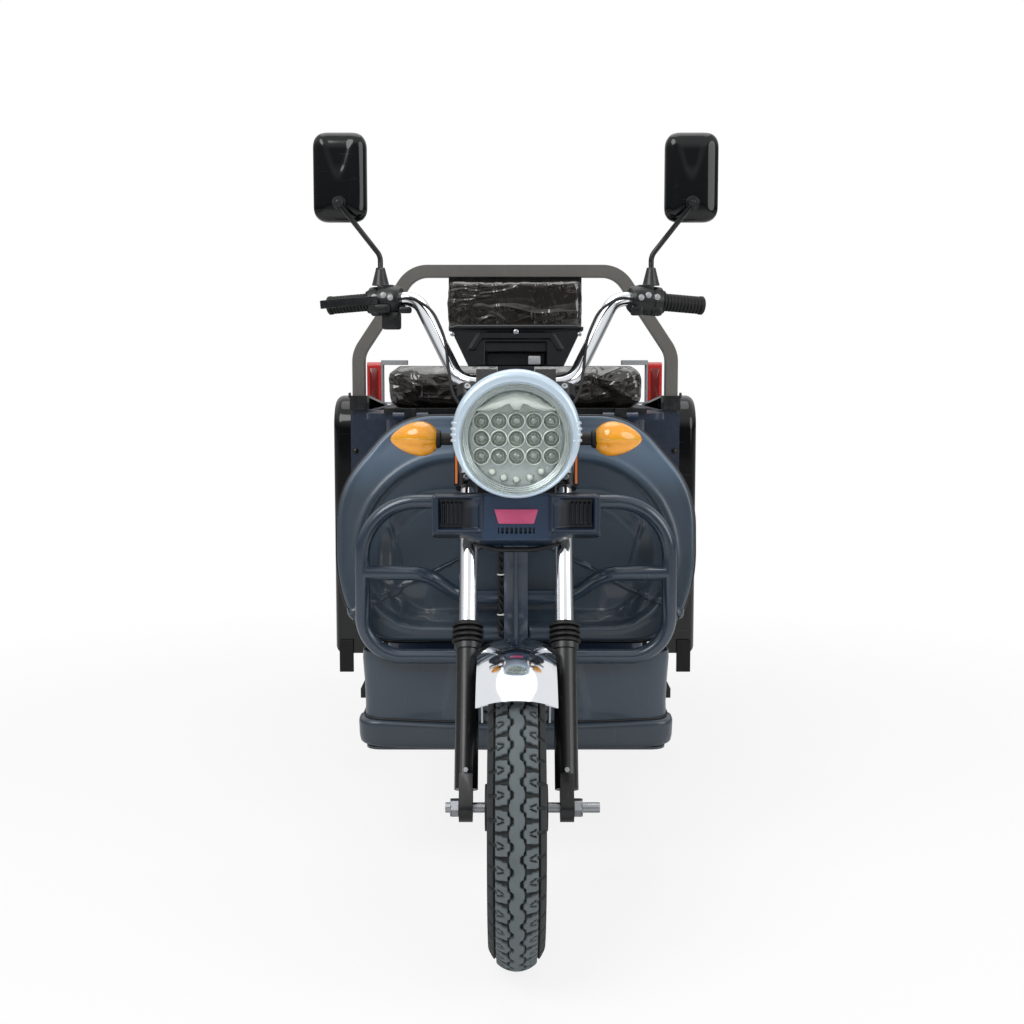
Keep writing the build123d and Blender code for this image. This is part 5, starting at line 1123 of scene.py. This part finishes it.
def shield_depth(u, v, outline, arch, inner):
    """Depth = round rim + leaning top - band + arch step + a pyramid-shaped recess, whose planes
    min(k1 d, k2 (v1 - v)) meet in creases, less a fold ridge, plus two trapezoid pockets at the foot."""
    rim_radius, recess_top = 9.0, 262
    d_out, d_arch, d_in = inside(outline, u, v), inside(arch, u, v), inside(inner, u, v)
    rim = rim_radius - np.sqrt(
        np.maximum(rim_radius**2 - (rim_radius - np.clip(d_out, 0, rim_radius)) ** 2, 0)
    )
    lean = 5.0 * ease(v, 300, 383) + 2.5 * ease(np.abs(u), 230, 300)
    band = -1.8 * np.exp(-(((d_arch + 7) / 5.0) ** 2))
    step = 10.0 * ease(d_arch, -2.0, 9.0)
    ramp = 18.0 * ease(np.minimum(0.62 * d_in, 0.55 * (recess_top - v) + 6), 0.0, 22.0)
    a = np.abs(u)
    fold = 2.4 * np.exp(-(((a - 198.5 - 0.275 * (v - 140)) / 3.6) ** 2))
    fold = fold * ease(v, 128, 142) * ease(226 - v, 0, 16)
    sides = np.minimum(a - 134.5 - 0.208 * (v - 25), 201 + 0.377 * (v - 28) - a)
    pocket = np.minimum(sides, np.minimum(v - 28, 0.6 * (96 - v)))
    return rim + lean * ease(d_out, 0, 20) + band + step + ramp - fold + 5.0 * ease(pocket, -3, 16)


@operator("Leg shield")
def leg_shield(context):
    """Shell: a skirt and rings of the outline that shrink to the middle, open at the foot for the down tube, with a
    seal round its edge."""
    middle, deepest, slot_half, slot_top = np.array([0.0, 190.0]), 39.0, 24, 436
    outline = even(outline_of(SHIELD_OUTLINE, 60, 14), 340, closed=True)
    arch = outline_of(SHIELD_ARCH, (50, 50, 60, 96, 96, 60, 50, 50), 12)
    inner = outline_of(SHIELD_INNER, 40, 12)
    shares = np.concatenate([np.linspace(1, 0.58, 70), np.linspace(0.573, 0.02, 28)])
    u = middle[0] + shares[:, None] * (outline[None, :, 0] - middle[0])
    v = middle[1] + shares[:, None] * (outline[None, :, 1] - middle[1])
    front = on_shield(u, v, np.minimum(shield_depth(u, v, outline, arch, inner), deepest))
    skirt_depth = np.array([117.0, 90.0, 60.0, 34.0, 20.0, 14.0, 11.0, 9.6])
    skirt = on_shield(outline[None, :, 0], outline[None, :, 1], skirt_depth[:, None])
    rows = np.concatenate([skirt, front])
    body, faces = grid(rows, wrap_columns=True)
    pole, last, j = len(body), (len(rows) - 1) * rows.shape[1], np.arange(rows.shape[1])
    faces.append(np.stack([last + j, last + (j + 1) % rows.shape[1], np.full(len(j), pole)], -1))
    body = np.concatenate([body, rows[-1].mean(0, keepdims=True)])
    corners = [body[f] for f in faces]
    over_tube = [(np.abs(c[..., 0]).max(1) < slot_half) & (c[..., 2].mean(1) < slot_top) for c in corners]
    surface = body, [f[~cut] for f, cut in zip(faces, over_tube)]
    shell = object_of(
        "leg_shield.look", "chassis", "slate_plastic", surface, 50, ("leg_shield",), hint=FORWARDS, wall=PANEL_WALL
    )
    x, back, z = local_corners(shell, (0, SHIELD_FOOT, SHIELD_BASE))
    up = back * sin(SHIELD_TILT) + z * cos(SHIELD_TILT)
    # painted light and shade: outside the arch the top band is painted lighter, as if it caught the sky, and the foot
    # is painted darker
    within = ease(inside(arch, x, up), -1, 8)
    shaded(shell, 0.69 - 0.62 * (1 - within) * ease(up, 235, 315) + 0.1 * ease(70 - up, 0, 50))
    edge = on_shield(outline[:, 0], outline[:, 1], 12.0)
    edge = edge.mean(0) + (edge - edge.mean(0)) * 0.9985
    at_slot = (np.abs(edge[:, 0]) < slot_half) & (edge[:, 2] < 500)
    start = int(np.argmax(at_slot & ~np.roll(at_slot, -1)))
    edge, at_slot = np.roll(edge, -start - 1, 0), np.roll(at_slot, -start - 1)
    object_of("shield_seal", "chassis", "rubber", tube(edge[~at_slot], 3.4, 8, BACKWARDS), 60, finish="seal")


@operator("Apron")
def apron(context):
    """Tub: a vertical section with a stepped foot, bowed by 8 (x / 261)^2, is carried round a U-shaped plan with
    rounded corners; a dark line marks the gap over its lip, and a floor closes it."""
    half_width, front, rear, flattest = 261, 322, 470, 313.6
    plan = [(-half_width, rear), (-half_width, front), (half_width, front), (half_width, rear)]
    plan = even(route_of(plan, 40, 14), 170)
    out = plan - (0.0, rear)
    out = out / np.linalg.norm(out, axis=1, keepdims=True)
    bow = 8.0 * (np.abs(plan[:, 0]) / half_width) ** 2 * (plan[:, 1] < 380)
    # height above the ground, how far the wall stands out there
    section = [
        (395, -4.0), (394, -0.6), (380, 0.0), (340, -3.0), (300, -4.5), (276, -4.0), (273, -3.0), (271.5, 2.0),
        (270, 6.5), (264, 8.0), (240, 7.0), (231, 5.0), (227, 0.5), (226.4, -6.0),
    ]
    height, push = np.array(even(section, 46)).T
    lifted = bow[None, :] * ease(330 - height, 0, 60)[:, None]
    above_lip = ease(height, 274, 290)[:, None] * ease(392 - height, 0, 20)[:, None]
    fold = 116 + 0.25 * (345 - height)[:, None] - np.abs(plan[:, 0])
    inwards = -3.2 * ease(-fold, -5, 5) * ease(fold, -95, -20)
    where = plan[None] + out[None] * (push[:, None] + inwards * above_lip)[..., None]
    rows = points(where[..., 0], np.maximum(where[..., 1], flattest), height[:, None] + lifted)
    tub = object_of(
        "apron.look", "chassis", "slate_plastic", grid(rows), 40, ("apron",), hint=FORWARDS, wall=PANEL_WALL
    )
    foot = outline_of([(-255, rear), (-255, 326), (255, 326), (255, rear)], 30, 8)
    rows = np.stack([points(foot[:, 0], foot[:, 1], z) for z in (227.0, 231.0)])
    floor = object_of("apron_floor", "chassis", "slate_plastic", capped(rows))
    # painted shadow: a dark tube standing in for the shade in the gap over the lip
    line = plan - 2.4 * out
    gap = tube(points(line[:, 0], np.maximum(line[:, 1], flattest + 1.2), 274.4 + bow), 1.9, 8)
    object_of("apron_gap_shadow", "chassis", "slate_plastic", gap, 60, finish="seal")
    # painted shade: the lip below the gap and the floor are painted darker than the tub above
    for piece in (tub, floor):
        x, _, height = corner_array(piece).T * 1000
        shaded(piece, 0.73 + 0.1 * ease(272 - height + 8 * (x / half_width) ** 2, 0, 3))


# Mirrors and handlebar


def rings_of(outline, across, up, depths):
    """An outline scaled across and up, repeated at each depth towards the rider."""
    return points(across * outline[:, 0], np.asarray(depths)[:, None], up * outline[:, 1])


@operator("Mirrors")
def mirrors(context):
    """Shells: rings of a rounded rectangle shrink to the boss; the back is domed, with a V-shaped flat from the top
    and a bevelled strip down the outer side. The glass sits in a lip on the rider's side."""
    out, centre, station, boss_height = 303.0, 1198.0, 431.62, 1152.0
    half_width, half_height, dome_radius, dome_height, proud = 45.8, 75.8, 30, 17.0, 9.6
    outline = even(outline_of(rectangle(half_width, half_height), 26, 10), 168, closed=True)
    shares = np.concatenate([np.linspace(1, 0.6, 20), np.linspace(0.58, 0.02, 32)])
    ball = [(9.8 * (1 - cos(a)), 9.8 * sin(a) + 0.3) for a in np.linspace(0.1, pi / 2, 8)]
    ball += [(13.5, 10.5), (15, 12.0)]
    for side, label in zip(SIDES, ("left", "right")):
        origin = np.array([side * out, station + proud, centre])
        u, v = shares[:, None] * outline[None, :, 0], shares[:, None] * outline[None, :, 1]
        d = np.clip(inside(outline, u, v), 0, dome_radius)
        dome = dome_height * (1 - np.sqrt(np.clip(1 - (1 - d / dome_radius) ** 2, 0, 1)))
        vee = ease(((v + 8) * 0.30 + 3) - np.abs(u + 2), -6, 6) * ease(v, -10, 20)
        strip = ease(8 - np.abs(30 + u * side - 0.05 * v), 0, 7) * ease(60 - np.abs(v), 0, 12)
        shell = origin + points(u, dome + 1.6 * vee + 0.3 * strip + 0.6, v)
        wall = origin + rings_of(outline, 1.0, 1.0, (29.5, 29.0, 26.0, 22.0, 19.0))
        lip = origin + rings_of(outline, 0.965, 0.975, (27.0, 29.5))
        glass = origin + rings_of(outline, 0.955, 0.968, (26.4, 28.2))
        stands_for = ("mirror_heads",) if side < 0 else ()
        shell = capped(np.concatenate([lip, wall, shell]))
        object_of(f"mirror_shell_{label}", "steering", "gloss_black", shell, 32, stands_for)
        object_of(f"mirror_glass_{label}", "steering", "mirror_glass", capped(glass), 30)
        boss = turned((side * out, station - proud, boss_height), BACKWARDS, ball, 28)
        object_of(f"mirror_ball_{label}", "steering", "black_plastic", boss)


BAR = {
    side: (np.array([side * 322.0, 455.0, 979.0]), np.array([side * 168.0, 415.0, 990.0])) for side in SIDES
}


def along_bar(side, at, ahead=0.0, above=0.0):
    """A point on a bar end: its distance from the tip, and an offset towards the front and up."""
    tip, shoulder = BAR[side]
    run = (shoulder - tip) / np.linalg.norm(shoulder - tip)
    return tip + run * at + np.array([0.0, -ahead, above])


def housing_blocks(side):
    """Blocks on a switch housing as (point on the bar, low corner, high corner), the corners being offsets."""
    if side > 0:
        return [
            (along_bar(side, 84, 14, -17), (-9, -9, -8), (9, 9, 8)),
            (along_bar(side, 120, 10, -18), (-10, -10, -9), (10, 10, 9)),
        ]
    perch = along_bar(side, 96, 22, -14)
    return [
        (along_bar(side, 112, 4, -36), (-15, -10, -14), (17, 12, 16)),
        (perch, (-12, -9, -8), (16, 10, 7)),
        (perch, (30, -7, -8), (52, 7, 3)),
    ]


@operator("Handlebar controls")
def controls(context):
    """Ribbed grips with a flange, switch housings with blocks and buttons, and the brake perch."""
    rib_pitch = 6.2
    grip = [(-3, 9), (-2.6, 14.2), (-1, 16.0), (4, 16.0), (5, 14.4)]
    for k in range(10):
        grip += [
            (at + rib_pitch * k, radius) for at, radius in ((6, 13.9), (7, 15.2), (10.4, 15.2), (11.4, 13.9))
        ]
    grip += [(69, 14.0), (69.5, 16.0), (72, 16.0), (72.2, 12.3)]
    housing = [
        (75.2, 15), (75.8, 22), (78, 24.6), (92, 25.0), (93, 23.6), (95, 23.6), (96, 25.0), (120, 24.6), (128, 23.0),
        (132.4, 19.0), (132.8, 13),
    ]
    flange, button = [(70.5, 13), (70.8, 19.5), (73.8, 19.5), (74.2, 13)], [(0, 5.5), (2.6, 5.3), (3.6, 3.6)]
    for side, label in zip(SIDES, ("left", "right")):
        tip, shoulder = BAR[side]
        run, first = shoulder - tip, side < 0
        grip_at = turned(tip, run, grip, 36)
        object_of(f"grip_{label}", "steering", "rubber", grip_at, 35, ("grips",) if first else ())
        top = (along_bar(side, 104, 0, 20), (-15, -13, -4), (15, 13, 6.5))
        blocks = [boxed(at + low, at + high, 3.0) for at, low, high in (top, *housing_blocks(side))]
        body = joined(turned(tip, run, housing, 40), *blocks)
        stands_for = ("switchgear",) if first else ()
        object_of(f"switch_housing_{label}", "steering", "black_plastic", body, 38, stands_for)
        places = [along_bar(side, at, 22.5, up) for at, up in ((84, 6), (100, 8), (113, 3))]
        buttons = [turned(place, (0, -1, 0.15), button, 18) for place in places]
        object_of(f"buttons_{label}", "steering", "light_grey", joined(*buttons))
        object_of(f"grip_flange_{label}", "steering", "rubber", turned(tip, run, flange, 36))


# Seat and backrest


def cushion_start(low, high, corner, crown, shrink, edge):
    """Closed cushion block: rings of a rounded rectangle whose rim is a round edge of radius `edge` and whose top is
    crowned by crown (1 - (x/w)^2)(1 - (s/l)^2)."""
    low, high = np.asarray(low, float) + shrink, np.asarray(high, float) - shrink
    middle, half = (low + high) / 2, (high - low) / 2
    outline = even(outline_of(rectangle(half[0], half[1]), corner, 8), 120, True)
    rows = [
        points(outline[:, 0] * share, outline[:, 1] * share, -half[2]) for share in (0.25, 0.5, 0.75, 0.9)
    ]
    for a in np.linspace(-pi / 2, pi / 2, 15):
        inset = edge * (1 - cos(a))
        z = (half[2] - edge) * np.sign(a) + edge * sin(a) if abs(a) > 1e-6 else 0.0
        rows.append(points(outline[:, 0] * (1 - inset / half[0]), outline[:, 1] * (1 - inset / half[1]), z))
    rows += [points(outline[:, 0] * share, outline[:, 1] * share, half[2]) for share in (0.9, 0.75, 0.5, 0.25, 0.06)]
    rows = np.stack(rows)
    x, s = rows[..., 0] / half[0], rows[..., 1] / half[1]
    rows[..., 2] += np.where(rows[..., 2] > 0, crown * np.clip(1 - x**2, 0, 1) * np.clip(1 - s**2, 0, 1), 0)
    return capped(rows + middle)


def blown_up(piece, pressure):
    """Inflates a closed cover by a cloth simulation of a few frames, without weight."""
    frames_run = 20
    cloth = piece.modifiers.new("Cover", "CLOTH")
    cloth.settings.use_pressure, cloth.settings.uniform_pressure_force = True, pressure
    cloth.settings.effector_weights.gravity = 0.0
    cloth.settings.quality, cloth.settings.mass = 5, 0.3
    cloth.settings.tension_stiffness = cloth.settings.compression_stiffness = 12.0
    cloth.point_cache.frame_start, cloth.point_cache.frame_end = 1, frames_run
    for step in range(1, frames_run + 1):
        bpy.context.scene.frame_set(step)
    apply_modifiers(piece)
    bpy.context.scene.frame_set(1)


def stuffed(name, body, surface, facts, replaces, limits, film_seed, fold, travel_share):
    """A cushion cover: remeshed, blown up by a cloth simulation with its travel capped, then given the film's folds
    and one subdivision. Without the simulation it keeps its start shape. It stays between the two limits."""
    fold_size, fold_count, ripple_size, ripple_share = 62.0, 46, 34.0, 0.35
    piece = object_of(name, body, "seat_cover", surface, 60, replaces, finish="film")
    remesh = piece.modifiers.new("Even mesh", "REMESH")
    remesh.mode, remesh.voxel_size = "VOXEL", 0.005
    apply_modifiers(piece)
    start = corner_array(piece)
    blown_up(piece, facts.pressure)
    travel = corner_array(piece) - start
    length = np.linalg.norm(travel, axis=1, keepdims=True)
    where = start + travel * np.minimum(1.0, facts.travel * travel_share / np.maximum(length, 1e-9))
    local = (where - (0.0, FRONT_AXLE, 0.0)) * 1000
    normal = np.zeros(len(local) * 3)
    piece.data.vertices.foreach_get("normal", normal)
    folds = creases(local, fold_size, film_seed, fold_count)
    folds = folds + ripple_share * ripples(local, ripple_size, film_seed + 9)
    local = np.clip(local + normal.reshape(-1, 3) * (fold * folds)[:, None], *limits)
    piece.data.vertices.foreach_set("co", placed(local).ravel())
    piece.data.update()
    piece.data.shade_smooth()
    modifier = piece.modifiers.new("Smooth", "SUBSURF")
    modifier.levels = modifier.render_levels = 1


def apply_modifiers(piece):
    """The evaluated mesh becomes the piece's own mesh."""
    result = bpy.data.meshes.new_from_object(piece.evaluated_get(bpy.context.evaluated_depsgraph_get()))
    piece.modifiers.clear()
    piece.data = result
    result.shade_smooth()


@operator("Seat and backrest")
def seats(context):
    """Seat cushion and backrest pad under wrinkled film."""
    facts = setting(context, "seat")
    limits = (-252, 690.5, 796.8), (252, 935.5, 877)
    seat = cushion_start((-250, 692, 799), (250, 934, 871), 20, 6.0, 2.0, 14.0)
    stuffed("seat_cushion.look", "seat", seat, facts, ("seat_cushion",), limits, 5, facts.fold, 1.0)
    # the pad is made lying down, with its crown up, and then stood on edge with its crown to the front
    front, rear, foot, top = 923.4, 964.6, 952, 1057
    pad, faces = cushion_start((-140, foot + 3, front + 1), (140, top - 2, rear - 1), 9, 2.0, 1.0, 8.0)
    pad = points(pad[:, 0], front + rear - pad[:, 2], pad[:, 1]), faces
    limits = (-142, front, foot), (142, rear, top)
    stuffed("backrest_pad.look", "chassis", pad, facts, ("backrest_pad",), limits, 17, facts.fold * 0.8, 0.3)


# Fork, cables and small fittings


@operator("Fork details")
def fork_details(context):
    """Axle washers and threads, clamp bolts, fork caps, drain screws and the collars over the boots."""
    leg, washer_at, thread_at, pitch = 74, 95.4, 97.2, 0.9
    ahead, along_leg = on_fork(0, -1, 0) - on_fork(0, 0, 0), on_fork(0, 0, 1) - on_fork(0, 0, 0)
    clamp_bolt = [(0, 5.2), (4.6, 5.2), (5.2, 4.4), (5.2, 2.4), (2.6, 2.3)]
    steel, black = [], []
    for side in SIDES:
        outwards, washer = (side, 0, 0), [(0, 7.4), (0.2, 13.0), (1.4, 13.0), (1.5, 7.4)]
        steel.append(turned((side * washer_at, 0, AXLE_HEIGHT), outwards, washer, 24))
        reach = 104.0 if side < 0 else 122.0
        thread = [(k * pitch, 7.35 if k % 2 else 6.5) for k in range(int((reach - 97.5) / pitch))]
        steel.append(turned((side * thread_at, 0, AXLE_HEIGHT), outwards, thread, 24))
        for along in (508, 664):
            steel.append(turned(on_fork(side * 78, -22.0, along), ahead, clamp_bolt, 16))
        cap, drain = [(0, 14.0), (4, 14.0), (5.4, 12.6), (5.4, 7)], [(0, 4.2), (2.6, 4.2), (3.2, 3.4)]
        steel.append(turned(on_fork(side * leg, 0, 674.0), along_leg, cap, 24))
        steel.append(turned(on_fork(side * leg, -17.4, 52), ahead, drain, 6))
        collar = [(0, 17.6), (1, 20.5), (10, 20.5), (11, 17.6)]
        black.append(turned(on_fork(side * leg, 0, 236.0), along_leg, collar, 32))
    object_of("fork_fasteners", "steering", "steel", joined(*steel), 35)
    object_of("fork_collars", "steering", "black_metal", joined(*black), 35)


@operator("Small fittings")
def fittings(context):
    """Bolts where panels meet the frame, and the twisted strands of the loom with two light ties."""
    panel_bolt = [(0, 7.0), (1.0, 7.0), (1.1, 5.4), (3.8, 4.6), (4.8, 2.4)]
    socket_bolt = [(0, 6.4), (3.8, 6.4), (4.6, 5.4)]
    loom_x, loom_back, twist, tie_radius = -25.5, 331, 2.6, 5.2
    bolts = []
    for side in SIDES:
        bolts += [turned((side * 336, 955.0, z), FORWARDS, panel_bolt, 18) for z in (552.0, 700.0)]
        bolts.append(turned((side * 346.2, 965, 817), (side, 0, 0), socket_bolt, 6))
    along = np.linspace(0, 1, 140)
    strands = []
    for start in (0.0, pi):
        turn = along * 2 * pi * 7 + start
        route = points(loom_x + twist * np.cos(turn), loom_back + twist * np.sin(turn), 604 - 184 * along)
        strands.append(tube(route, 2.4, 8, BACKWARDS))
    object_of("loom_strands", "chassis", "rubber", joined(*strands), 60)
    ring = circle(tie_radius, 20)
    ties = [
        tube(points(loom_x + ring[:, 0], loom_back + ring[:, 1], z), 1.3, 8, closed=True) for z in (526, 458)
    ]
    object_of("loom_ties", "chassis", "light_grey", joined(*ties), 50, finish="dial")
    object_of("panel_bolts", "chassis", "black_metal", joined(*bolts))


@operator("Tail lamp fronts")
def tail_lamps(context):
    """Darker panels in the fronts of the tail lamps, each inside a rim of the lens."""
    low, high = [(np.array(corner) - (0.0, FRONT_AXLE, 0.0)) * 1000 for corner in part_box("tail_lamps")]
    lamp_width, rim = 36.0, 7
    foot, top = low[2] + 12, high[2] - 16
    for side, label in zip(SIDES, ("left", "right")):
        x0, x1 = sorted((side * (high[0] - lamp_width + rim), side * (high[0] - rim)))
        outline = outline_of([(x0, foot), (x1, foot), (x1, top), (x0, top)], 4.0, 5)
        # painted shade: a darker flat panel stands in for the shade inside each recess
        recess = slab(outline, low[1] - 0.5, low[1] + 3, 0.4)
        object_of(f"tail_lamp_recess_shade_{label}", "chassis", "red_lens", recess, finish="deep_red")


@operator("Frame pieces")
def frame_pieces(context):
    """Every CAD node whose own shape is right, with rounded edges and its slot's finish."""
    slots = {item["node"]: item["material_slot"] for item in RECORD["subparts"]}
    round_ones = {"handlebar", "mirror_stems", "stanchions", "front_mudguard", "guard_bar", "control_cables"}
    own_finish = {"main_frame": "frame_paint", "frame_loom": "frame_paint"}
    for node in sorted(NODES):
        if not NODES[node].hide_render:
            bevel = 0.0 if node in round_ones else 0.8
            dress_node(node, own_finish.get(node, slots[node]), bevel)


# Stage


def floor_material():
    """Pale paper that camera and transmission rays see fade into white between 0.9 and 2.6 m from the middle."""
    paper = bpy.data.materials.new("Paper floor")
    paper.use_nodes = True
    tree = paper.node_tree
    shader = node_of_type(tree, "BSDF_PRINCIPLED")
    tint = put(tree, "ShaderNodeMapRange", _0=noise(tree, 0.01, 4.0), _3=0.955, _4=0.975).outputs[0]
    colour = put(tree, "ShaderNodeCombineColor", _0=tint, _1=tint, _2=tint).outputs[0]
    tree.links.new(colour, shader.inputs["Base Color"])
    shader.inputs["Roughness"].default_value = 0.9
    shader.inputs["Specular IOR Level"].default_value = 0.0
    where = put(tree, "ShaderNodeTexCoord").outputs["Object"]
    away = put(tree, "ShaderNodeVectorMath", {"operation": "LENGTH"}, _0=where).outputs["Value"]
    smooth = {"interpolation_type": "SMOOTHSTEP"}
    far = put(tree, "ShaderNodeMapRange", smooth, _0=away, _1=0.9, _2=2.6, _3=0.84, _4=1.0).outputs[0]
    fade = maths(tree, "MULTIPLY", far, seen_directly(tree))
    white = put(tree, "ShaderNodeEmission", Color=(1, 1, 1, 1), Strength=1.0)
    mixed = put(tree, "ShaderNodeMixShader", Fac=fade, _1=shader.outputs[0], _2=white.outputs[0])
    tree.links.new(mixed.outputs[0], node_of_type(tree, "OUTPUT_MATERIAL").inputs["Surface"])
    return paper


def seen_directly(tree):
    """1 for camera and transmission rays."""
    path = put(tree, "ShaderNodeLightPath").outputs
    return maths(tree, "MAXIMUM", path["Is Camera Ray"], path["Is Transmission Ray"])


def make_sky(strength):
    """Even white light; the camera sees plain white, and reflections see it darken towards the horizon."""
    world = bpy.data.worlds.new("Studio")
    world.use_nodes = True
    sky = world.node_tree
    background = node_of_type(sky, "BACKGROUND")
    height = put(
        sky, "ShaderNodeSeparateXYZ", Vector=put(sky, "ShaderNodeTexCoord").outputs["Generated"],
    ).outputs["Z"]
    smooth = {"interpolation_type": "SMOOTHSTEP"}
    reflected = put(
        sky, "ShaderNodeMapRange", smooth, _0=height, _1=-0.05, _2=0.6, _3=0.06, _4=1.0,
    ).outputs[0]
    direct, plain = seen_directly(sky), {"data_type": "FLOAT"}
    glossy = put(sky, "ShaderNodeLightPath").outputs["Is Glossy Ray"]
    strength = put(sky, "ShaderNodeMix", plain, _0=glossy, _2=strength, _3=reflected).outputs[0]
    strength = put(sky, "ShaderNodeMix", plain, _0=direct, _2=strength, _3=1.0).outputs[0]
    sky.links.new(strength, background.inputs["Strength"])
    background.inputs["Color"].default_value = (1, 1, 1, 1)
    return world


@operator("Stage")
def stage(context):
    """Pale floor that fades into a white distance, even sky, three soft lamps and the camera."""
    facts = setting(context, "stage")
    turn = np.arange(96) * 2 * pi / 96
    radius = np.array([0.01, 0.5, 1, 2, 3, 4, 6, 10, 20, 60])
    rows = points(radius[:, None] * np.cos(turn), radius[:, None] * np.sin(turn), 0.0)
    mesh = bpy.data.meshes.new("floor")
    where, faces = grid(rows[::-1], wrap_columns=True)
    mesh.from_pydata(where.tolist(), [], [f for block in faces for f in block.tolist()])
    mesh.materials.append(floor_material())
    floor = bpy.data.objects.new("floor", mesh)
    context.scene.collection.objects.link(floor)
    context.scene.world = make_sky(facts.sky)
    front = FRONT_AXLE - facts.distance
    for name, place, aim, size, power in (
        ("Key", (-1.7, front + 0.1, 3.0), (0, -0.4, 0.6), 2.2, facts.key),
        ("Fill", (2.4, front + 0.8, 1.7), (0, -0.4, 0.7), 2.0, facts.key * 0.45),
        ("Top", (0.0, 0.2, 3.6), (0, 0.0, 0.0), 2.6, facts.key * 0.5),
    ):
        lamp = bpy.data.lights.new(name, "AREA")
        lamp.shape, lamp.size, lamp.energy = "DISK", size, power
        holder = bpy.data.objects.new(name, lamp)
        context.scene.collection.objects.link(holder)
        holder.location = place
        holder.rotation_euler = (Vector(aim) - Vector(place)).to_track_quat("-Z", "Y").to_euler()
    camera = bpy.data.cameras.new("camera")
    camera.lens, camera.sensor_width = facts.lens, 36.0
    viewer = bpy.data.objects.new("camera", camera)
    context.scene.collection.objects.link(viewer)
    viewer.location = (CAMERA_ACROSS, front, facts.height)
    viewer.rotation_euler = (pi / 2 - facts.pitch, 0, 0)
    context.scene.camera = viewer
    context.scene.view_settings.view_transform = "Standard"


class TRIKE_PT_panel(bpy.types.Panel):
    """Shows the settings and a button for each group of pieces."""

    bl_idname = "TRIKE_PT_panel"
    bl_label = "Cargo Tricycle"
    bl_space_type, bl_region_type, bl_category = "VIEW_3D", "UI", "Tricycle"

    def draw(self, context):
        for group, settings in SETTINGS.items():
            box = self.layout.box()
            for name in settings.__annotations__:
                box.prop(setting(context, group), name)
        for made in OPERATORS:
            self.layout.operator(made.bl_idname)


CLASSES = [*SETTINGS.values(), *OPERATORS, TRIKE_PT_panel]


def register():
    for found in CLASSES:
        bpy.utils.register_class(found)
    for group, settings in SETTINGS.items():
        setattr(bpy.types.Scene, f"trike_{group}", PointerProperty(type=settings))


def unregister():
    for group in SETTINGS:
        delattr(bpy.types.Scene, f"trike_{group}")
    for found in reversed(CLASSES):
        bpy.utils.unregister_class(found)


def main():
    register()
    for piece in (
        "tyres", "wheel_details", "headlamp", "signals", "horn_cover", "cowl", "leg_shield", "apron", "mirrors",
        "controls", "seats", "fork_details", "fittings", "tail_lamps", "frame_pieces", "stage",
    ):
        getattr(bpy.ops.trike, piece)()


if __name__ == "__main__":
    main()
